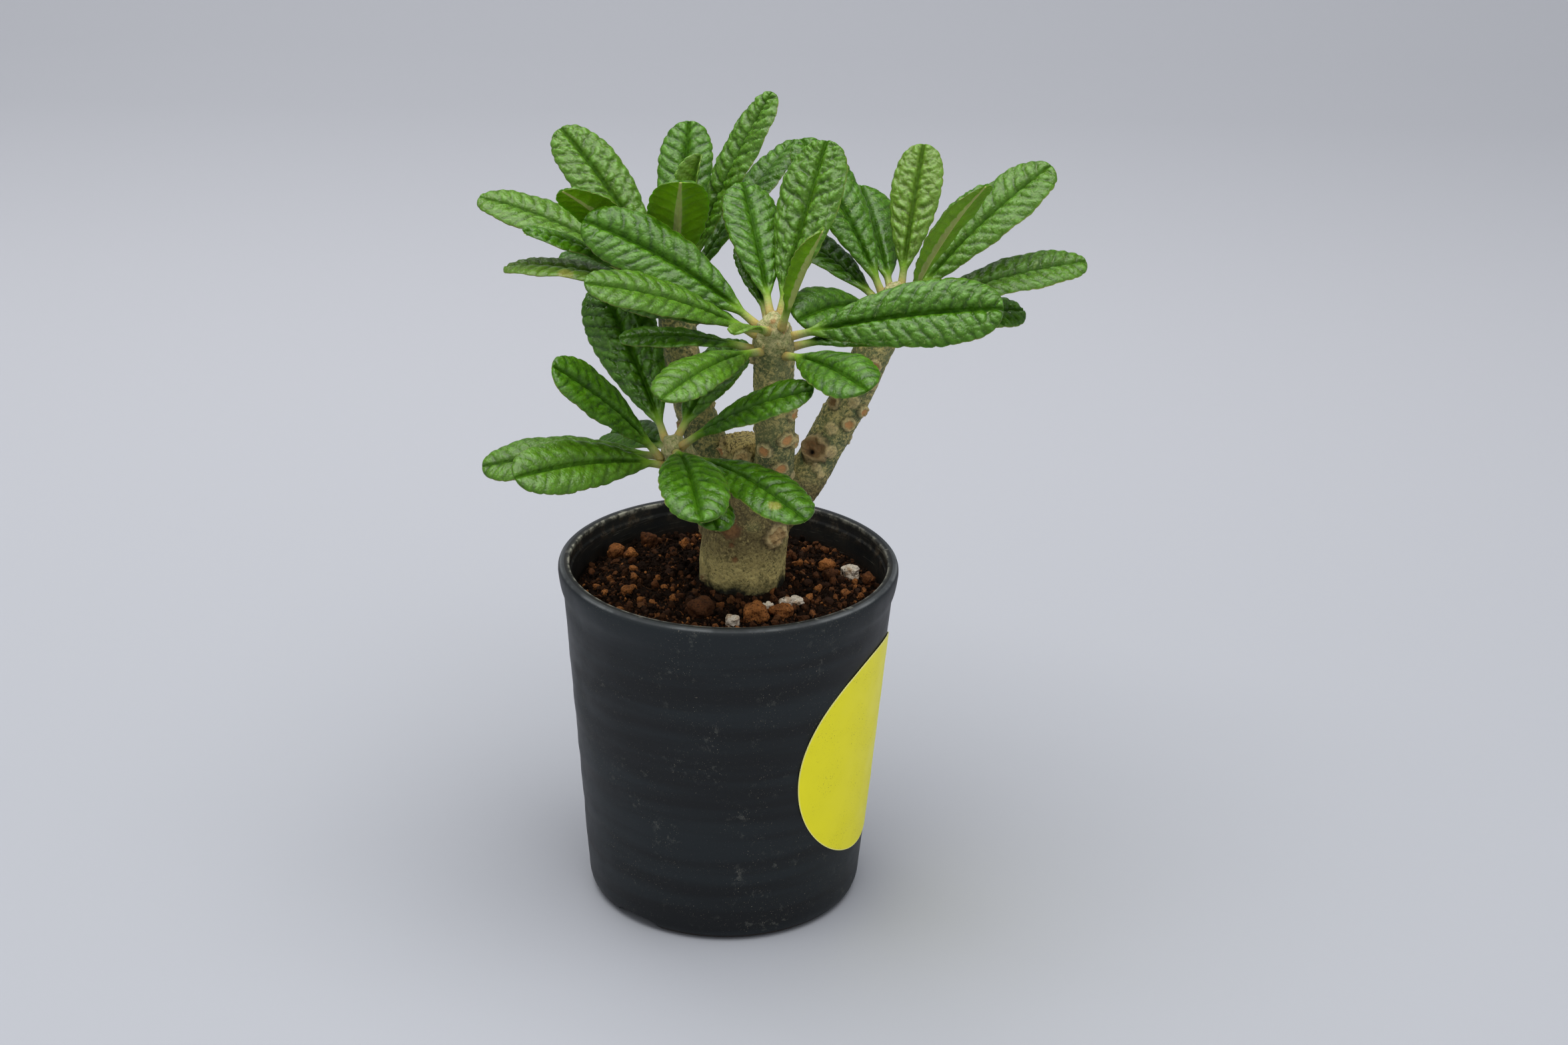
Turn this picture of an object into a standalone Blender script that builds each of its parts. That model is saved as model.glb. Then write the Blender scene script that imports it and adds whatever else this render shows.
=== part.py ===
"""A potted dorstenia: a small branching succulent in a round plastic nursery pot.

Lengths at the top are in millimetres and angles in degrees; the meshes are made in metres.
The origin is the centre of the pot's base on the ground, +Z is up and the front looks along -Y.
A heading is measured from +X (right) towards +Y (back), and a rise is measured from level.
"""

import math

import bmesh
import bpy
from mathutils import Matrix, Vector, noise

MM = 0.001
GAP = 0.3  # between pieces that touch
SHARP_EDGE = 40.0  # edges that turn further than this stay crisp on smooth pieces

# The pot
POT_HEIGHT = 79.0
RIM_RADIUS = 37.5
BASE_RADIUS = 30.9
BASE_CORNER_TOP = 4.0
WALL = 1.3
LIP_HEIGHT = 6.5
LIP_STEP = 1.2
LIP_FOOT = POT_HEIGHT - LIP_HEIGHT
WALL_SLOPE = (RIM_RADIUS - LIP_STEP - BASE_RADIUS) / (LIP_FOOT - BASE_CORNER_TOP)
FLOOR_UNDERSIDE = 2.8
FLOOR_THICKNESS = 1.6
FLOOR_TOP = FLOOR_UNDERSIDE + FLOOR_THICKNESS
FLOOR_FILLET = 1.5
INNER_STEP = 0.4
INNER_FOOT = (BASE_RADIUS - WALL, FLOOR_TOP + FLOOR_FILLET)  # radius and height
INNER_TOP = (RIM_RADIUS - LIP_STEP - WALL - INNER_STEP, POT_HEIGHT - 2.9)
FOOT_RING_INNER = 26.5
CENTRE_FOOT_RADIUS = 6.0
POT_SIDES = 72
NOTCH_HEADINGS = (-130.2, -10.2, 109.8)
NOTCH_WIDTH = 14.0
NOTCH_HEIGHT = 2.5
NOTCH_FLARE = 1.0  # how far each notch widens below the ground on either side
DRAIN_HOLES = 6
DRAIN_HOLE_RADIUS = 2.5
DRAIN_HOLE_SIDES = 16
DRAIN_CIRCLE_RADIUS = 16.0
CUT_BEYOND = 2.0  # how far a cutter reaches past the wall or floor that it cuts

# The round label on the wall
LABEL_RADIUS = 25.0
LABEL_HEADING = -19.8
LABEL_CENTRE_HEIGHT = 40.0
LABEL_THICKNESS = 0.3
LABEL_STANDING = 0.4  # its facets dip 0.1 towards the wall
LABEL_RINGS = 5
LABEL_SIDES = 40

# The soil
SOIL_EDGE_HEIGHT = 71.0
SOIL_SHOULDER_HEIGHT = 71.4
SOIL_MIDDLE_HEIGHT = 72.0
SOIL_SHOULDER = 0.86  # of the soil's radius
SOIL_FLAT = 0.60

# The stem: x, y, z and radius along each run, the trunk from its buried foot up to its crown
TRUNK = (
    (3.0, 3.0, 56.0, 5.5),
    (3.0, 3.0, 62.0, 8.4),
    (3.0, 3.0, 70.0, 9.4),
    (3.2, 2.9, 77.0, 9.5),
    (3.6, 2.6, 85.0, 9.6),
    (4.4, 2.4, 92.0, 10.0),
    (5.0, 2.4, 98.0, 8.8),
)
BACK_SHOOT = (
    (0.5, 3.0, 88.0, 5.4),
    (-2.0, 5.0, 97.0, 5.0),
    (-5.8, 9.0, 105.0, 4.4),
    (-9.5, 12.0, 115.0, 4.2),
    (-12.0, 15.0, 128.0, 4.1),
    (-13.0, 17.0, 141.0, 4.0),
)
FRONT_SHOOT = (
    (6.5, 0.5, 86.0, 5.6),
    (8.2, -2.5, 95.0, 4.8),
    (9.5, -5.0, 104.0, 4.3),
    (9.5, -7.0, 114.0, 4.2),
    (8.8, -10.0, 128.0, 4.3),
    (8.4, -13.5, 140.5, 4.2),
)
RIGHT_SHOOT = (
    (7.0, 1.5, 86.0, 5.0),
    (15.0, 2.0, 95.5, 4.5),
    (21.5, 4.0, 107.0, 4.3),
    (28.0, 6.0, 120.0, 4.2),
    (33.5, 8.0, 133.0, 4.2),
    (36.0, 9.0, 140.5, 4.0),
)
LOW_SHOOT = (
    (1.0, -1.0, 88.0, 4.8),
    (-4.0, -6.0, 97.0, 4.0),
    (-9.0, -11.0, 105.0, 3.6),
    (-13.0, -16.0, 113.5, 3.4),
)
STUB = (
    (3.0, 2.5, 94.0, 5.2),
    (3.1, 3.0, 101.0, 4.9),
    (3.1, 3.3, 106.5, 4.4),
)
TRUNK_SIDES = 18
SHOOT_SIDES = 14
RUN_RINGS = 8
SHOOT_TIP_TAPER = 8.0
SHOOT_TIP_RINGS = (1.0, 0.6, 0.3, 0.08)  # shares of the taper, from its start to the tip

# The leaves
PETIOLE_LENGTH = 6.0
PETIOLE_RADIUS = 0.8
LEAF_THICKNESS = 0.8
RIB_DEPTH = 0.5
PETIOLE_BLEND = 0.2  # of the blade's length, in which the round petiole flattens out
PETIOLE_RING = 3.6  # how far along the petiole its second ring lies
SPINE_STEPS = 48
BLADE_STATIONS = (0.10, 0.26, 0.46, 0.66, 0.84, 0.96)
BLADE_BASE_POWER = 0.95
BLADE_TIP_POWER = 0.42
MARGIN_ROLL = 0.16
BLADE_FOLD = 12.0

# One row for each leaf: how far below the shoot's tip it sits, its heading, its rise at the
# foot, its length with the petiole, its width, how far it bends up along its length, its
# twist about its own midrib and, where it is folded more than usual, its fold
LEAVES = {
    "back": (
        (3, 136, 50, 42, 13, -20, -25),
        (4, 163, 34, 44, 13, -28, -15),
        (3, -145, 58, 34, 12, -26, 30),
        (5, -153, 40, 35, 12, -22, -5),
        (7, 165, 22, 35, 12, -34, 0),
        (3, 84, 62, 36, 12, -16, 0),
        (2, 28, 70, 43, 12, -16, 5),
        (1, 52, 78, 25, 6, -4, 0, 60),
        (3, -85, 70, 31, 13, -20, 0),
        (8, 134, 16, 32, 12, -20, -10),
        (5, 44, 50, 42, 12, -20, -10),
    ),
    "front": (
        (3, 164, 38, 42, 14, -24, -42),
        (4, -165, 32, 38, 12, -24, -25),
        (8, -168, 18, 28, 10, -22, -5),
        (7, -128, 12, 32, 12, -30, -10),
        (8, -54, 14, 27, 13, -26, 20),
        (5, -9, 18, 44, 15, -13, 50),
        (2, -114, 25, 17, 5, -20, 0, 30),
        (2, 66, 60, 39, 14, -14, 0),
        (1, 104, 48, 32, 12, -16, 0),
        (4, 106, 38, 21, 7, -10, 0),
        (1, -52, 70, 26, 8, -14, 20, 30),
        (6, 152, 14, 32, 11, -22, -15),
        (9, 14, 12, 21, 9, -22, 10),
    ),
    "right": (
        (1, 74, 62, 32, 11, -10, 0),
        (2, -46, 66, 35, 12, -20, 0),
        (3, 22, 50, 42, 14, -20, 20),
        (5, 12, 23, 40, 12, -20, 20),
        (4, 128, 53, 40, 13, -18, -10),
        (3, 103, 41, 31, 13, -20, 10),
        (6, 131, 26, 36, 13, -24, 0),
        (9, 22, 12, 29, 12, -22, 20),
        (7, -140, 28, 23, 12, -46, -35),
    ),
    "low": (
        (3, -160, 54, 32, 13, -20, -35),
        (5, -146, 19, 36, 13, -24, -35),
        (5, 180, 5, 38, 13, -20, -20),
        (2, -80, 20, 34, 14, -46, 0),
        (5, -46, 9, 35, 13, -30, 10),
        (3, 62, 36, 30, 12, -20, 0),
        (7, 122, -2, 27, 12, -20, -20),
        (2, -18, 41, 32, 12, -24, 20),
        (6, -75, 6, 26, 11, -30, -15),
        (2, 117, 45, 41, 15, -18, -30),
    ),
}
SHOOTS = {"back": BACK_SHOOT, "front": FRONT_SHOOT, "right": RIGHT_SHOOT, "low": LOW_SHOOT}

# The larger stones on the soil: x, y, the stone's three radii, its turn, and pumice or baked clay
STONES = (
    (6.0, -16.4, 2.9, 2.4, 2.1, 20, "clay"),
    (11.6, -14.6, 2.5, 1.7, 1.5, 10, "clay"),
    (-5.9, -15.1, 3.2, 2.7, 2.3, 60, "clay"),
    (22.1, 10.7, 1.8, 1.5, 1.3, 30, "clay"),
    (31.2, 4.6, 1.3, 1.9, 1.4, 10, "clay"),
    (-18.3, 24.3, 2.0, 1.7, 1.7, 15, "clay"),
    (-25.7, 18.0, 2.0, 1.7, 1.6, 50, "clay"),
    (-22.0, 16.6, 1.2, 1.4, 1.2, 0, "clay"),
    (-22.2, -3.9, 1.4, 1.2, 1.1, 40, "clay"),
    (13.6, -9.4, 2.5, 1.4, 1.3, 20, "pumice"),
    (8.6, -11.6, 1.3, 0.9, 1.0, 40, "pumice"),
    (0.9, -19.6, 1.5, 1.3, 1.3, 0, "pumice"),
    (27.2, 7.4, 2.1, 1.6, 1.5, 160, "pumice"),
)
STONE_ROUGHNESS = 0.22
STONE_LUMP_SCALE = 1.3

POT_PLASTIC = ("pot_plastic", (0.020, 0.023, 0.026), 0.45)
LABEL_PAPER = ("label_paper", (0.70, 0.62, 0.03), 0.40)
SOIL_MIX = ("soil_mix", (0.045, 0.025, 0.016), 0.95)
BARK = ("bark", (0.26, 0.26, 0.17), 0.85)
LEAF_GREEN = ("leaf_green", (0.045, 0.16, 0.02), 0.35)
PUMICE = ("pumice", (0.55, 0.50, 0.42), 0.90)
BAKED_CLAY = ("baked_clay", (0.30, 0.13, 0.05), 0.90)


def clear_scene():
    for obj in list(bpy.data.objects):
        bpy.data.objects.remove(obj, do_unlink=True)


def material(finish):
    """The Principled material of a finish, made the first time that it is asked for."""
    name, colour, roughness = finish
    found = bpy.data.materials.get(name)
    if found:
        return found
    made = bpy.data.materials.new(name)
    made.use_nodes = True
    shader = made.node_tree.nodes["Principled BSDF"]
    shader.inputs["Base Color"].default_value = (*colour, 1.0)
    shader.inputs["Roughness"].default_value = roughness
    shader.inputs["Metallic"].default_value = 0.0
    return made


def object_of(name, bm, finish, smooth=True):
    """A scene object made of a bmesh that is in millimetres."""
    bmesh.ops.scale(bm, vec=(MM, MM, MM), verts=bm.verts)
    bmesh.ops.recalc_face_normals(bm, faces=bm.faces)
    mesh = bpy.data.meshes.new(name)
    bm.to_mesh(mesh)
    bm.free()
    if smooth:
        mesh.shade_smooth()
        mesh.set_sharp_from_angle(angle=math.radians(SHARP_EDGE))
    obj = bpy.data.objects.new(name, mesh)
    bpy.context.scene.collection.objects.link(obj)
    if finish:
        mesh.materials.append(material(finish))
    return obj


def helper_of(name, bm):
    """A cutter, or a shape that a union takes in: never a piece of its own."""
    obj = object_of(name, bm, None, smooth=False)
    obj.hide_render = True
    obj.display_type = "WIRE"
    return obj


def add_boolean(obj, other, operation):
    modifier = obj.modifiers.new(other.name, "BOOLEAN")
    modifier.operation = operation
    modifier.solver = "EXACT"
    modifier.object = other


def heading_vector(heading):
    angle = math.radians(heading)
    return Vector((math.cos(angle), math.sin(angle), 0.0))


def bridge(bm, first, second):
    """Faces between two rings of as many points, either of which may be a single point."""
    count = max(len(first), len(second))
    for i in range(count):
        j = (i + 1) % count
        if len(first) == 1:
            bm.faces.new((first[0], second[i], second[j]))
        elif len(second) == 1:
            bm.faces.new((first[j], first[i], second[0]))
        else:
            bm.faces.new((first[i], second[i], second[j], first[j]))


def loft(rings):
    """A closed skin through rings of points, whose first and last ring is a single point."""
    bm = bmesh.new()
    made = [[bm.verts.new(point) for point in ring] for ring in rings]
    for first, second in zip(made, made[1:]):
        bridge(bm, first, second)
    return bm


def turned(profile, sides):
    """A turned solid: the profile's points are (radius, height), from the axis back to the axis."""
    rings = []
    for radius, height in profile:
        level = Vector((0.0, 0.0, height))
        if radius == 0.0:
            rings.append([level])
        else:
            turns = [360.0 * i / sides for i in range(sides)]
            rings.append([level + heading_vector(turn) * radius for turn in turns])
    return loft(rings)


def wall_radius(height):
    """The radius of the pot's outer wall between its base corner and its lip."""
    return BASE_RADIUS + (height - BASE_CORNER_TOP) * WALL_SLOPE


def inner_radius(height):
    """The radius of the pot's inner wall, from its floor corner up to the step under the rim."""
    share = (height - INNER_FOOT[1]) / (INNER_TOP[1] - INNER_FOOT[1])
    return INNER_FOOT[0] + share * (INNER_TOP[0] - INNER_FOOT[0])


def pot_profile():
    rim_inner = INNER_TOP[0] + INNER_STEP
    return (
        (0.0, 0.0),
        (CENTRE_FOOT_RADIUS, 0.0),
        (CENTRE_FOOT_RADIUS, FLOOR_UNDERSIDE),
        (FOOT_RING_INNER, FLOOR_UNDERSIDE),
        (FOOT_RING_INNER, 0.0),
        (BASE_RADIUS - 2.5, 0.0),
        (BASE_RADIUS - 1.2, 0.7),
        (BASE_RADIUS - 0.3, 2.2),
        (BASE_RADIUS, BASE_CORNER_TOP),
        (wall_radius(LIP_FOOT), LIP_FOOT),
        (RIM_RADIUS - 0.15, POT_HEIGHT - 3.2),
        (RIM_RADIUS, POT_HEIGHT - 2.0),
        (RIM_RADIUS - 0.2, POT_HEIGHT - 0.8),
        (RIM_RADIUS - 0.8, POT_HEIGHT),
        (rim_inner + 0.5, POT_HEIGHT),
        (rim_inner, POT_HEIGHT - 0.5),
        (rim_inner, INNER_TOP[1] + INNER_STEP),
        INNER_TOP,
        INNER_FOOT,
        (INNER_FOOT[0] - FLOOR_FILLET, FLOOR_TOP),
        (0.0, FLOOR_TOP),
    )


def notch_cutter():
    """Three prisms across the foot ring, each narrower at its top."""
    bm = bmesh.new()
    for heading in NOTCH_HEADINGS:
        outward = heading_vector(heading)
        along = heading_vector(heading + 90.0)
        ends = []
        for reach in (FOOT_RING_INNER - CUT_BEYOND, BASE_RADIUS + CUT_BEYOND):
            ring = []
            for half, height in (
                (NOTCH_WIDTH / 2 + NOTCH_FLARE, -NOTCH_FLARE),
                (NOTCH_WIDTH / 2 - NOTCH_HEIGHT, NOTCH_HEIGHT),
                (NOTCH_HEIGHT - NOTCH_WIDTH / 2, NOTCH_HEIGHT),
                (-NOTCH_WIDTH / 2 - NOTCH_FLARE, -NOTCH_FLARE),
            ):
                ring.append(bm.verts.new(outward * reach + along * half + Vector((0, 0, height))))
            ends.append(ring)
        bridge(bm, *ends)
        bm.faces.new(ends[0])
        bm.faces.new(reversed(ends[1]))
    return helper_of("notch_cutter", bm)


def drain_cutter():
    bm = bmesh.new()
    for i in range(DRAIN_HOLES):
        centre = heading_vector(360.0 * (i + 0.5) / DRAIN_HOLES) * DRAIN_CIRCLE_RADIUS
        middle = Vector((0, 0, FLOOR_UNDERSIDE + FLOOR_THICKNESS / 2))
        bmesh.ops.create_cone(
            bm,
            cap_ends=True,
            segments=DRAIN_HOLE_SIDES,
            radius1=DRAIN_HOLE_RADIUS,
            radius2=DRAIN_HOLE_RADIUS,
            depth=FLOOR_THICKNESS + 2 * CUT_BEYOND,
            matrix=Matrix.Translation(centre + middle),
        )
    return helper_of("drain_cutter", bm)


def make_pot():
    pot = object_of("pot", turned(pot_profile(), POT_SIDES), POT_PLASTIC)
    add_boolean(pot, notch_cutter(), "DIFFERENCE")
    add_boolean(pot, drain_cutter(), "DIFFERENCE")


def on_wall(across, up, standing):
    """A point of the flat label wrapped round the wall, standing this far off it."""
    half_angle = math.atan(WALL_SLOPE)
    apex = LABEL_CENTRE_HEIGHT - wall_radius(LABEL_CENTRE_HEIGHT) / WALL_SLOPE
    middle_slant = wall_radius(LABEL_CENTRE_HEIGHT) / math.sin(half_angle)
    slant = math.hypot(across, middle_slant + up)
    turn = math.atan2(across, middle_slant + up) / math.sin(half_angle)
    radius = slant * math.sin(half_angle) + standing * math.cos(half_angle)
    height = apex + slant * math.cos(half_angle) - standing * math.sin(half_angle)
    return heading_vector(LABEL_HEADING + math.degrees(turn)) * radius + Vector((0, 0, height))


def make_label():
    sheets = []
    for standing in (LABEL_STANDING, LABEL_STANDING + LABEL_THICKNESS):
        rings = [[on_wall(0.0, 0.0, standing)]]
        for k in range(LABEL_RINGS):
            radius = LABEL_RADIUS * (k + 1) / LABEL_RINGS
            ring = []
            for i in range(LABEL_SIDES):
                flat = heading_vector(360.0 * i / LABEL_SIDES) * radius
                ring.append(on_wall(flat.x, flat.y, standing))
            rings.append(ring)
        sheets.append(rings)
    object_of("label", loft(sheets[0] + sheets[1][::-1]), LABEL_PAPER)


def soil_radius(height):
    return inner_radius(height) - GAP


def make_soil():
    edge = soil_radius(SOIL_EDGE_HEIGHT)
    foot = INNER_FOOT[1] + GAP
    profile = (
        (0.0, FLOOR_TOP + GAP),
        (soil_radius(foot) - FLOOR_FILLET, FLOOR_TOP + GAP),
        (soil_radius(foot), foot),
        (edge, SOIL_EDGE_HEIGHT),
        (edge * SOIL_SHOULDER, SOIL_SHOULDER_HEIGHT),
        (edge * SOIL_FLAT, SOIL_MIDDLE_HEIGHT),
        (0.0, SOIL_MIDDLE_HEIGHT),
    )
    soil = object_of("soil", turned(profile, POT_SIDES), SOIL_MIX)
    socket = loft(tube_rings(TRUNK, TRUNK_SIDES, grow=GAP))
    add_boolean(soil, helper_of("trunk_socket", socket), "DIFFERENCE")


def along_run(run, share):
    """The smooth curve through a run's points, with its radius, at 0 to 1 of its length."""
    last = len(run) - 1
    place = min(max(share, 0.0), 1.0) * last
    i = min(int(place), last - 1)
    t = place - i
    before, start, end, after = (Vector(run[min(max(k, 0), last)]) for k in (i - 1, i, i + 1, i + 2))
    return 0.5 * (
        2 * start
        + (end - before) * t
        + (2 * before - 5 * start + 4 * end - after) * t * t
        + (3 * start - before - 3 * end + after) * t * t * t
    )


def run_table(run, steps=60):
    """Points, radii and lengths so far at even steps along a run."""
    samples = [along_run(run, i / steps) for i in range(steps + 1)]
    points = [Vector(sample[:3]) for sample in samples]
    lengths = [0.0]
    for a, b in zip(points, points[1:]):
        lengths.append(lengths[-1] + (b - a).length)
    return points, [sample[3] for sample in samples], lengths


def step_at(lengths, reach):
    """The step of a run's table that holds the point this far along it."""
    return max(k for k in range(len(lengths) - 1) if k == 0 or lengths[k] <= reach)


def shoot_place(run, drop):
    """The axis point, the direction and the radius this far below a shoot's tip."""
    points, radii, lengths = run_table(run)
    reach = lengths[-1] - drop
    i = step_at(lengths, reach)
    direction = (points[i + 1] - points[i]).normalized()
    place = points[i] + direction * (reach - lengths[i])
    return place, direction, radii[i] * tip_share(drop)


def tip_share(drop):
    """How much of its full radius a shoot has this far below its tip."""
    if drop >= SHOOT_TIP_TAPER:
        return 1.0
    return math.sqrt(max(1.0 - (1.0 - drop / SHOOT_TIP_TAPER) ** 2, 0.0))


def tube_rings(run, sides, grow=0.0, tip=False):
    """Rings along a run, each square to it, closed at both ends, with a rounded tip if asked."""
    points, radii, lengths = run_table(run)
    whole = lengths[-1]
    reaches = [whole * k / (RUN_RINGS - 1) for k in range(RUN_RINGS)]
    if tip:
        reaches = [reach for reach in reaches if reach < whole - SHOOT_TIP_TAPER]
        reaches += [whole - SHOOT_TIP_TAPER * share for share in SHOOT_TIP_RINGS]
    rings = []
    side = Vector((1.0, 0.0, 0.0))
    for reach in reaches:
        i = step_at(lengths, reach)
        direction = (points[i + 1] - points[i]).normalized()
        centre = points[i] + direction * (reach - lengths[i])
        if reach == 0.0:
            centre -= direction * grow
        if not rings:
            rings.append([centre])
        side = (side - direction * side.dot(direction)).normalized()
        other = direction.cross(side)
        radius = radii[i] * (tip_share(whole - reach) if tip else 1.0) + grow
        ring = []
        for k in range(sides):
            angle = math.tau * k / sides
            ring.append(centre + (side * math.cos(angle) + other * math.sin(angle)) * radius)
        rings.append(ring)
    rings.append([points[-1]])
    return rings


def make_stem():
    """The trunk, its four shoots and the stub of a cut one, grown together as one piece."""
    stem = object_of("stem", loft(tube_rings(TRUNK, TRUNK_SIDES)), BARK)
    for name, run in SHOOTS.items():
        shoot = helper_of(name + "_shoot", loft(tube_rings(run, SHOOT_SIDES, tip=True)))
        add_boolean(stem, shoot, "UNION")
    add_boolean(stem, helper_of("stub", loft(tube_rings(STUB, SHOOT_SIDES))), "UNION")


def blade_half_width(share, width):
    """Half the blade's width at 0 to 1 of its length: a spoon shape, widest towards the tip."""
    widest = BLADE_BASE_POWER / (BLADE_BASE_POWER + BLADE_TIP_POWER)
    most = widest**BLADE_BASE_POWER * (1 - widest) ** BLADE_TIP_POWER
    return width / 2 * share**BLADE_BASE_POWER * (1 - share) ** BLADE_TIP_POWER / most


def risen(heading, rise):
    """The direction that has this heading and this rise above level."""
    angle = math.radians(rise)
    return heading_vector(heading) * math.cos(angle) + Vector((0, 0, math.sin(angle)))


def leaf_foot(run, drop, heading, rise):
    """Where a petiole starts: beside the shoot, with its round end a gap off the bark."""
    place, direction, radius = shoot_place(run, drop)
    outward = heading_vector(heading)
    outward = (outward - direction * outward.dot(direction)).normalized()
    lean = risen(heading, rise).dot(outward)
    overhang = PETIOLE_RADIUS * math.sqrt(1.0 - lean * lean)
    return place + outward * (radius + GAP + overhang)


def leaf_spine(foot, heading, rise, length, bend):
    """Points of the midrib and its direction at each, bending evenly along its length."""
    points = [foot]
    directions = []
    for i in range(SPINE_STEPS + 1):
        directions.append(risen(heading, rise + bend * i / SPINE_STEPS))
        if i < SPINE_STEPS:
            points.append(points[-1] + directions[-1] * (length / SPINE_STEPS))
    return points, directions


def leaf_ring(centre, direction, heading, twist, half, fold, petiole_share):
    """Eight points round a leaf: its two margins, and three each on its top and underside."""
    side = heading_vector(heading + 90.0)
    side = Matrix.Rotation(math.radians(twist), 3, direction) @ side
    up = direction.cross(side)
    blade = 1.0 - petiole_share
    lift = math.tan(math.radians(fold)) * blade
    thick = LEAF_THICKNESS * blade + 2 * PETIOLE_RADIUS * petiole_share
    ring = []
    for across, top in (
        (-1.0, 0.0),
        (-0.5, 0.5),
        (0.0, 0.2 * blade + 0.5 * petiole_share),
        (0.5, 0.5),
        (1.0, 0.0),
        (0.5, -0.5),
        (0.0, -0.5 - RIB_DEPTH * blade / LEAF_THICKNESS),
        (-0.5, -0.5),
    ):
        roll = MARGIN_ROLL * across * across * half * blade
        height = abs(across) * half * lift - roll + top * thick
        ring.append(centre + side * (across * half) + up * height)
    return ring


def make_leaf(name, run, row):
    drop, heading, rise, length, width, bend, twist = row[:7]
    fold = row[7] if len(row) > 7 else BLADE_FOLD
    foot = leaf_foot(run, drop, heading, rise)
    points, directions = leaf_spine(foot, heading, rise, length, bend)
    blade_length = length - PETIOLE_LENGTH
    stations = [(0.0, PETIOLE_RADIUS, 1.0), (PETIOLE_RING, PETIOLE_RADIUS, 1.0)]
    for share in BLADE_STATIONS:
        half = max(blade_half_width(share, width), PETIOLE_RADIUS)
        petiole_share = max(0.0, 1.0 - share / PETIOLE_BLEND)
        stations.append((PETIOLE_LENGTH + blade_length * share, half, petiole_share))
    rings = [[points[0]]]
    for reach, half, petiole_share in stations:
        i = round(reach / length * SPINE_STEPS)
        rings.append(leaf_ring(points[i], directions[i], heading, twist, half, fold, petiole_share))
    rings.append([points[-1]])
    object_of(name, loft(rings), LEAF_GREEN)


def make_leaves():
    for shoot, rows in LEAVES.items():
        for number, row in enumerate(rows, 1):
            make_leaf(f"{shoot}_shoot_leaf_{number:02d}", SHOOTS[shoot], row)


def soil_height(x, y):
    """The height of the soil's top, which slopes down in two steps towards the wall."""
    away = math.hypot(x, y) / soil_radius(SOIL_EDGE_HEIGHT)
    if away < SOIL_FLAT:
        return SOIL_MIDDLE_HEIGHT
    if away < SOIL_SHOULDER:
        share = (away - SOIL_FLAT) / (SOIL_SHOULDER - SOIL_FLAT)
        return SOIL_MIDDLE_HEIGHT + share * (SOIL_SHOULDER_HEIGHT - SOIL_MIDDLE_HEIGHT)
    share = (away - SOIL_SHOULDER) / (1.0 - SOIL_SHOULDER)
    return SOIL_SHOULDER_HEIGHT + share * (SOIL_EDGE_HEIGHT - SOIL_SHOULDER_HEIGHT)


def make_stones():
    counts = {"clay": 0, "pumice": 0}
    for x, y, long, wide, tall, turn, kind in STONES:
        counts[kind] += 1
        bm = bmesh.new()
        bmesh.ops.create_icosphere(bm, subdivisions=1, radius=1.0)
        for vert in bm.verts:
            wobble = noise.noise(vert.co * STONE_LUMP_SCALE + Vector((x, y, 0.0)))
            vert.co *= 1.0 + STONE_ROUGHNESS * wobble
        bmesh.ops.scale(bm, vec=(long, wide, tall), verts=bm.verts)
        bmesh.ops.rotate(bm, matrix=Matrix.Rotation(math.radians(turn), 3, "Z"), verts=bm.verts)
        lowest = min(vert.co.z for vert in bm.verts)
        seat = soil_height(x, y) + GAP - lowest
        bmesh.ops.translate(bm, vec=(x, y, seat), verts=bm.verts)
        name = f"{kind}_stone_{counts[kind]}"
        object_of(name, bm, BAKED_CLAY if kind == "clay" else PUMICE, smooth=False)


def main():
    clear_scene()
    make_pot()
    make_label()
    make_soil()
    make_stem()
    make_leaves()
    make_stones()


if __name__ == "__main__":
    main()
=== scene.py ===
"""The looks of a potted dorstenia: a small branching succulent in a black nursery pot.

The tables are in millimetres and degrees, and the meshes and the settings are in metres.
+Z is up, the front looks along -Y, and the origin is the centre of the pot's base.
A heading is measured from +X (right) towards +Y (back), and a rise is measured from level.
"""

import math

import bmesh
import bpy
import numpy as np
from bpy.props import FloatProperty, FloatVectorProperty, IntProperty, PointerProperty
from mathutils import Matrix, Vector, noise


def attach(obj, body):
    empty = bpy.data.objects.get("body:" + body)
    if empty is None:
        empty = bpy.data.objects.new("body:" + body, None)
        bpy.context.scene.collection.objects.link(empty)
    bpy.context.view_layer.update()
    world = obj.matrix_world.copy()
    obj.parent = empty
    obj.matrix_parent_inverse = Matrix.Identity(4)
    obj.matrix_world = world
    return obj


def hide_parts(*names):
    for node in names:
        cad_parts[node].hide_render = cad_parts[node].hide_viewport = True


bl_info = {
    "name": "Potted Dorstenia",
    "version": (1, 0, 0),
    "blender": (4, 5, 0),
    "location": "3D View > Sidebar > Plant",
    "description": "Makes the visible skin of a potted dorstenia over its packed solids",
    "category": "Object",
}

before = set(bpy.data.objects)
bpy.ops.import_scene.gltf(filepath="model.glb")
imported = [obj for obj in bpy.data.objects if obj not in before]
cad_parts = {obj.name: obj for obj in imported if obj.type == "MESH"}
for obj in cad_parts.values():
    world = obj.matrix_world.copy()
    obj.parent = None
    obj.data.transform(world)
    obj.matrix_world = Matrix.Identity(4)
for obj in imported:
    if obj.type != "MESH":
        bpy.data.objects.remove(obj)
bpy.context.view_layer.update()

MM = 0.001

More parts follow.
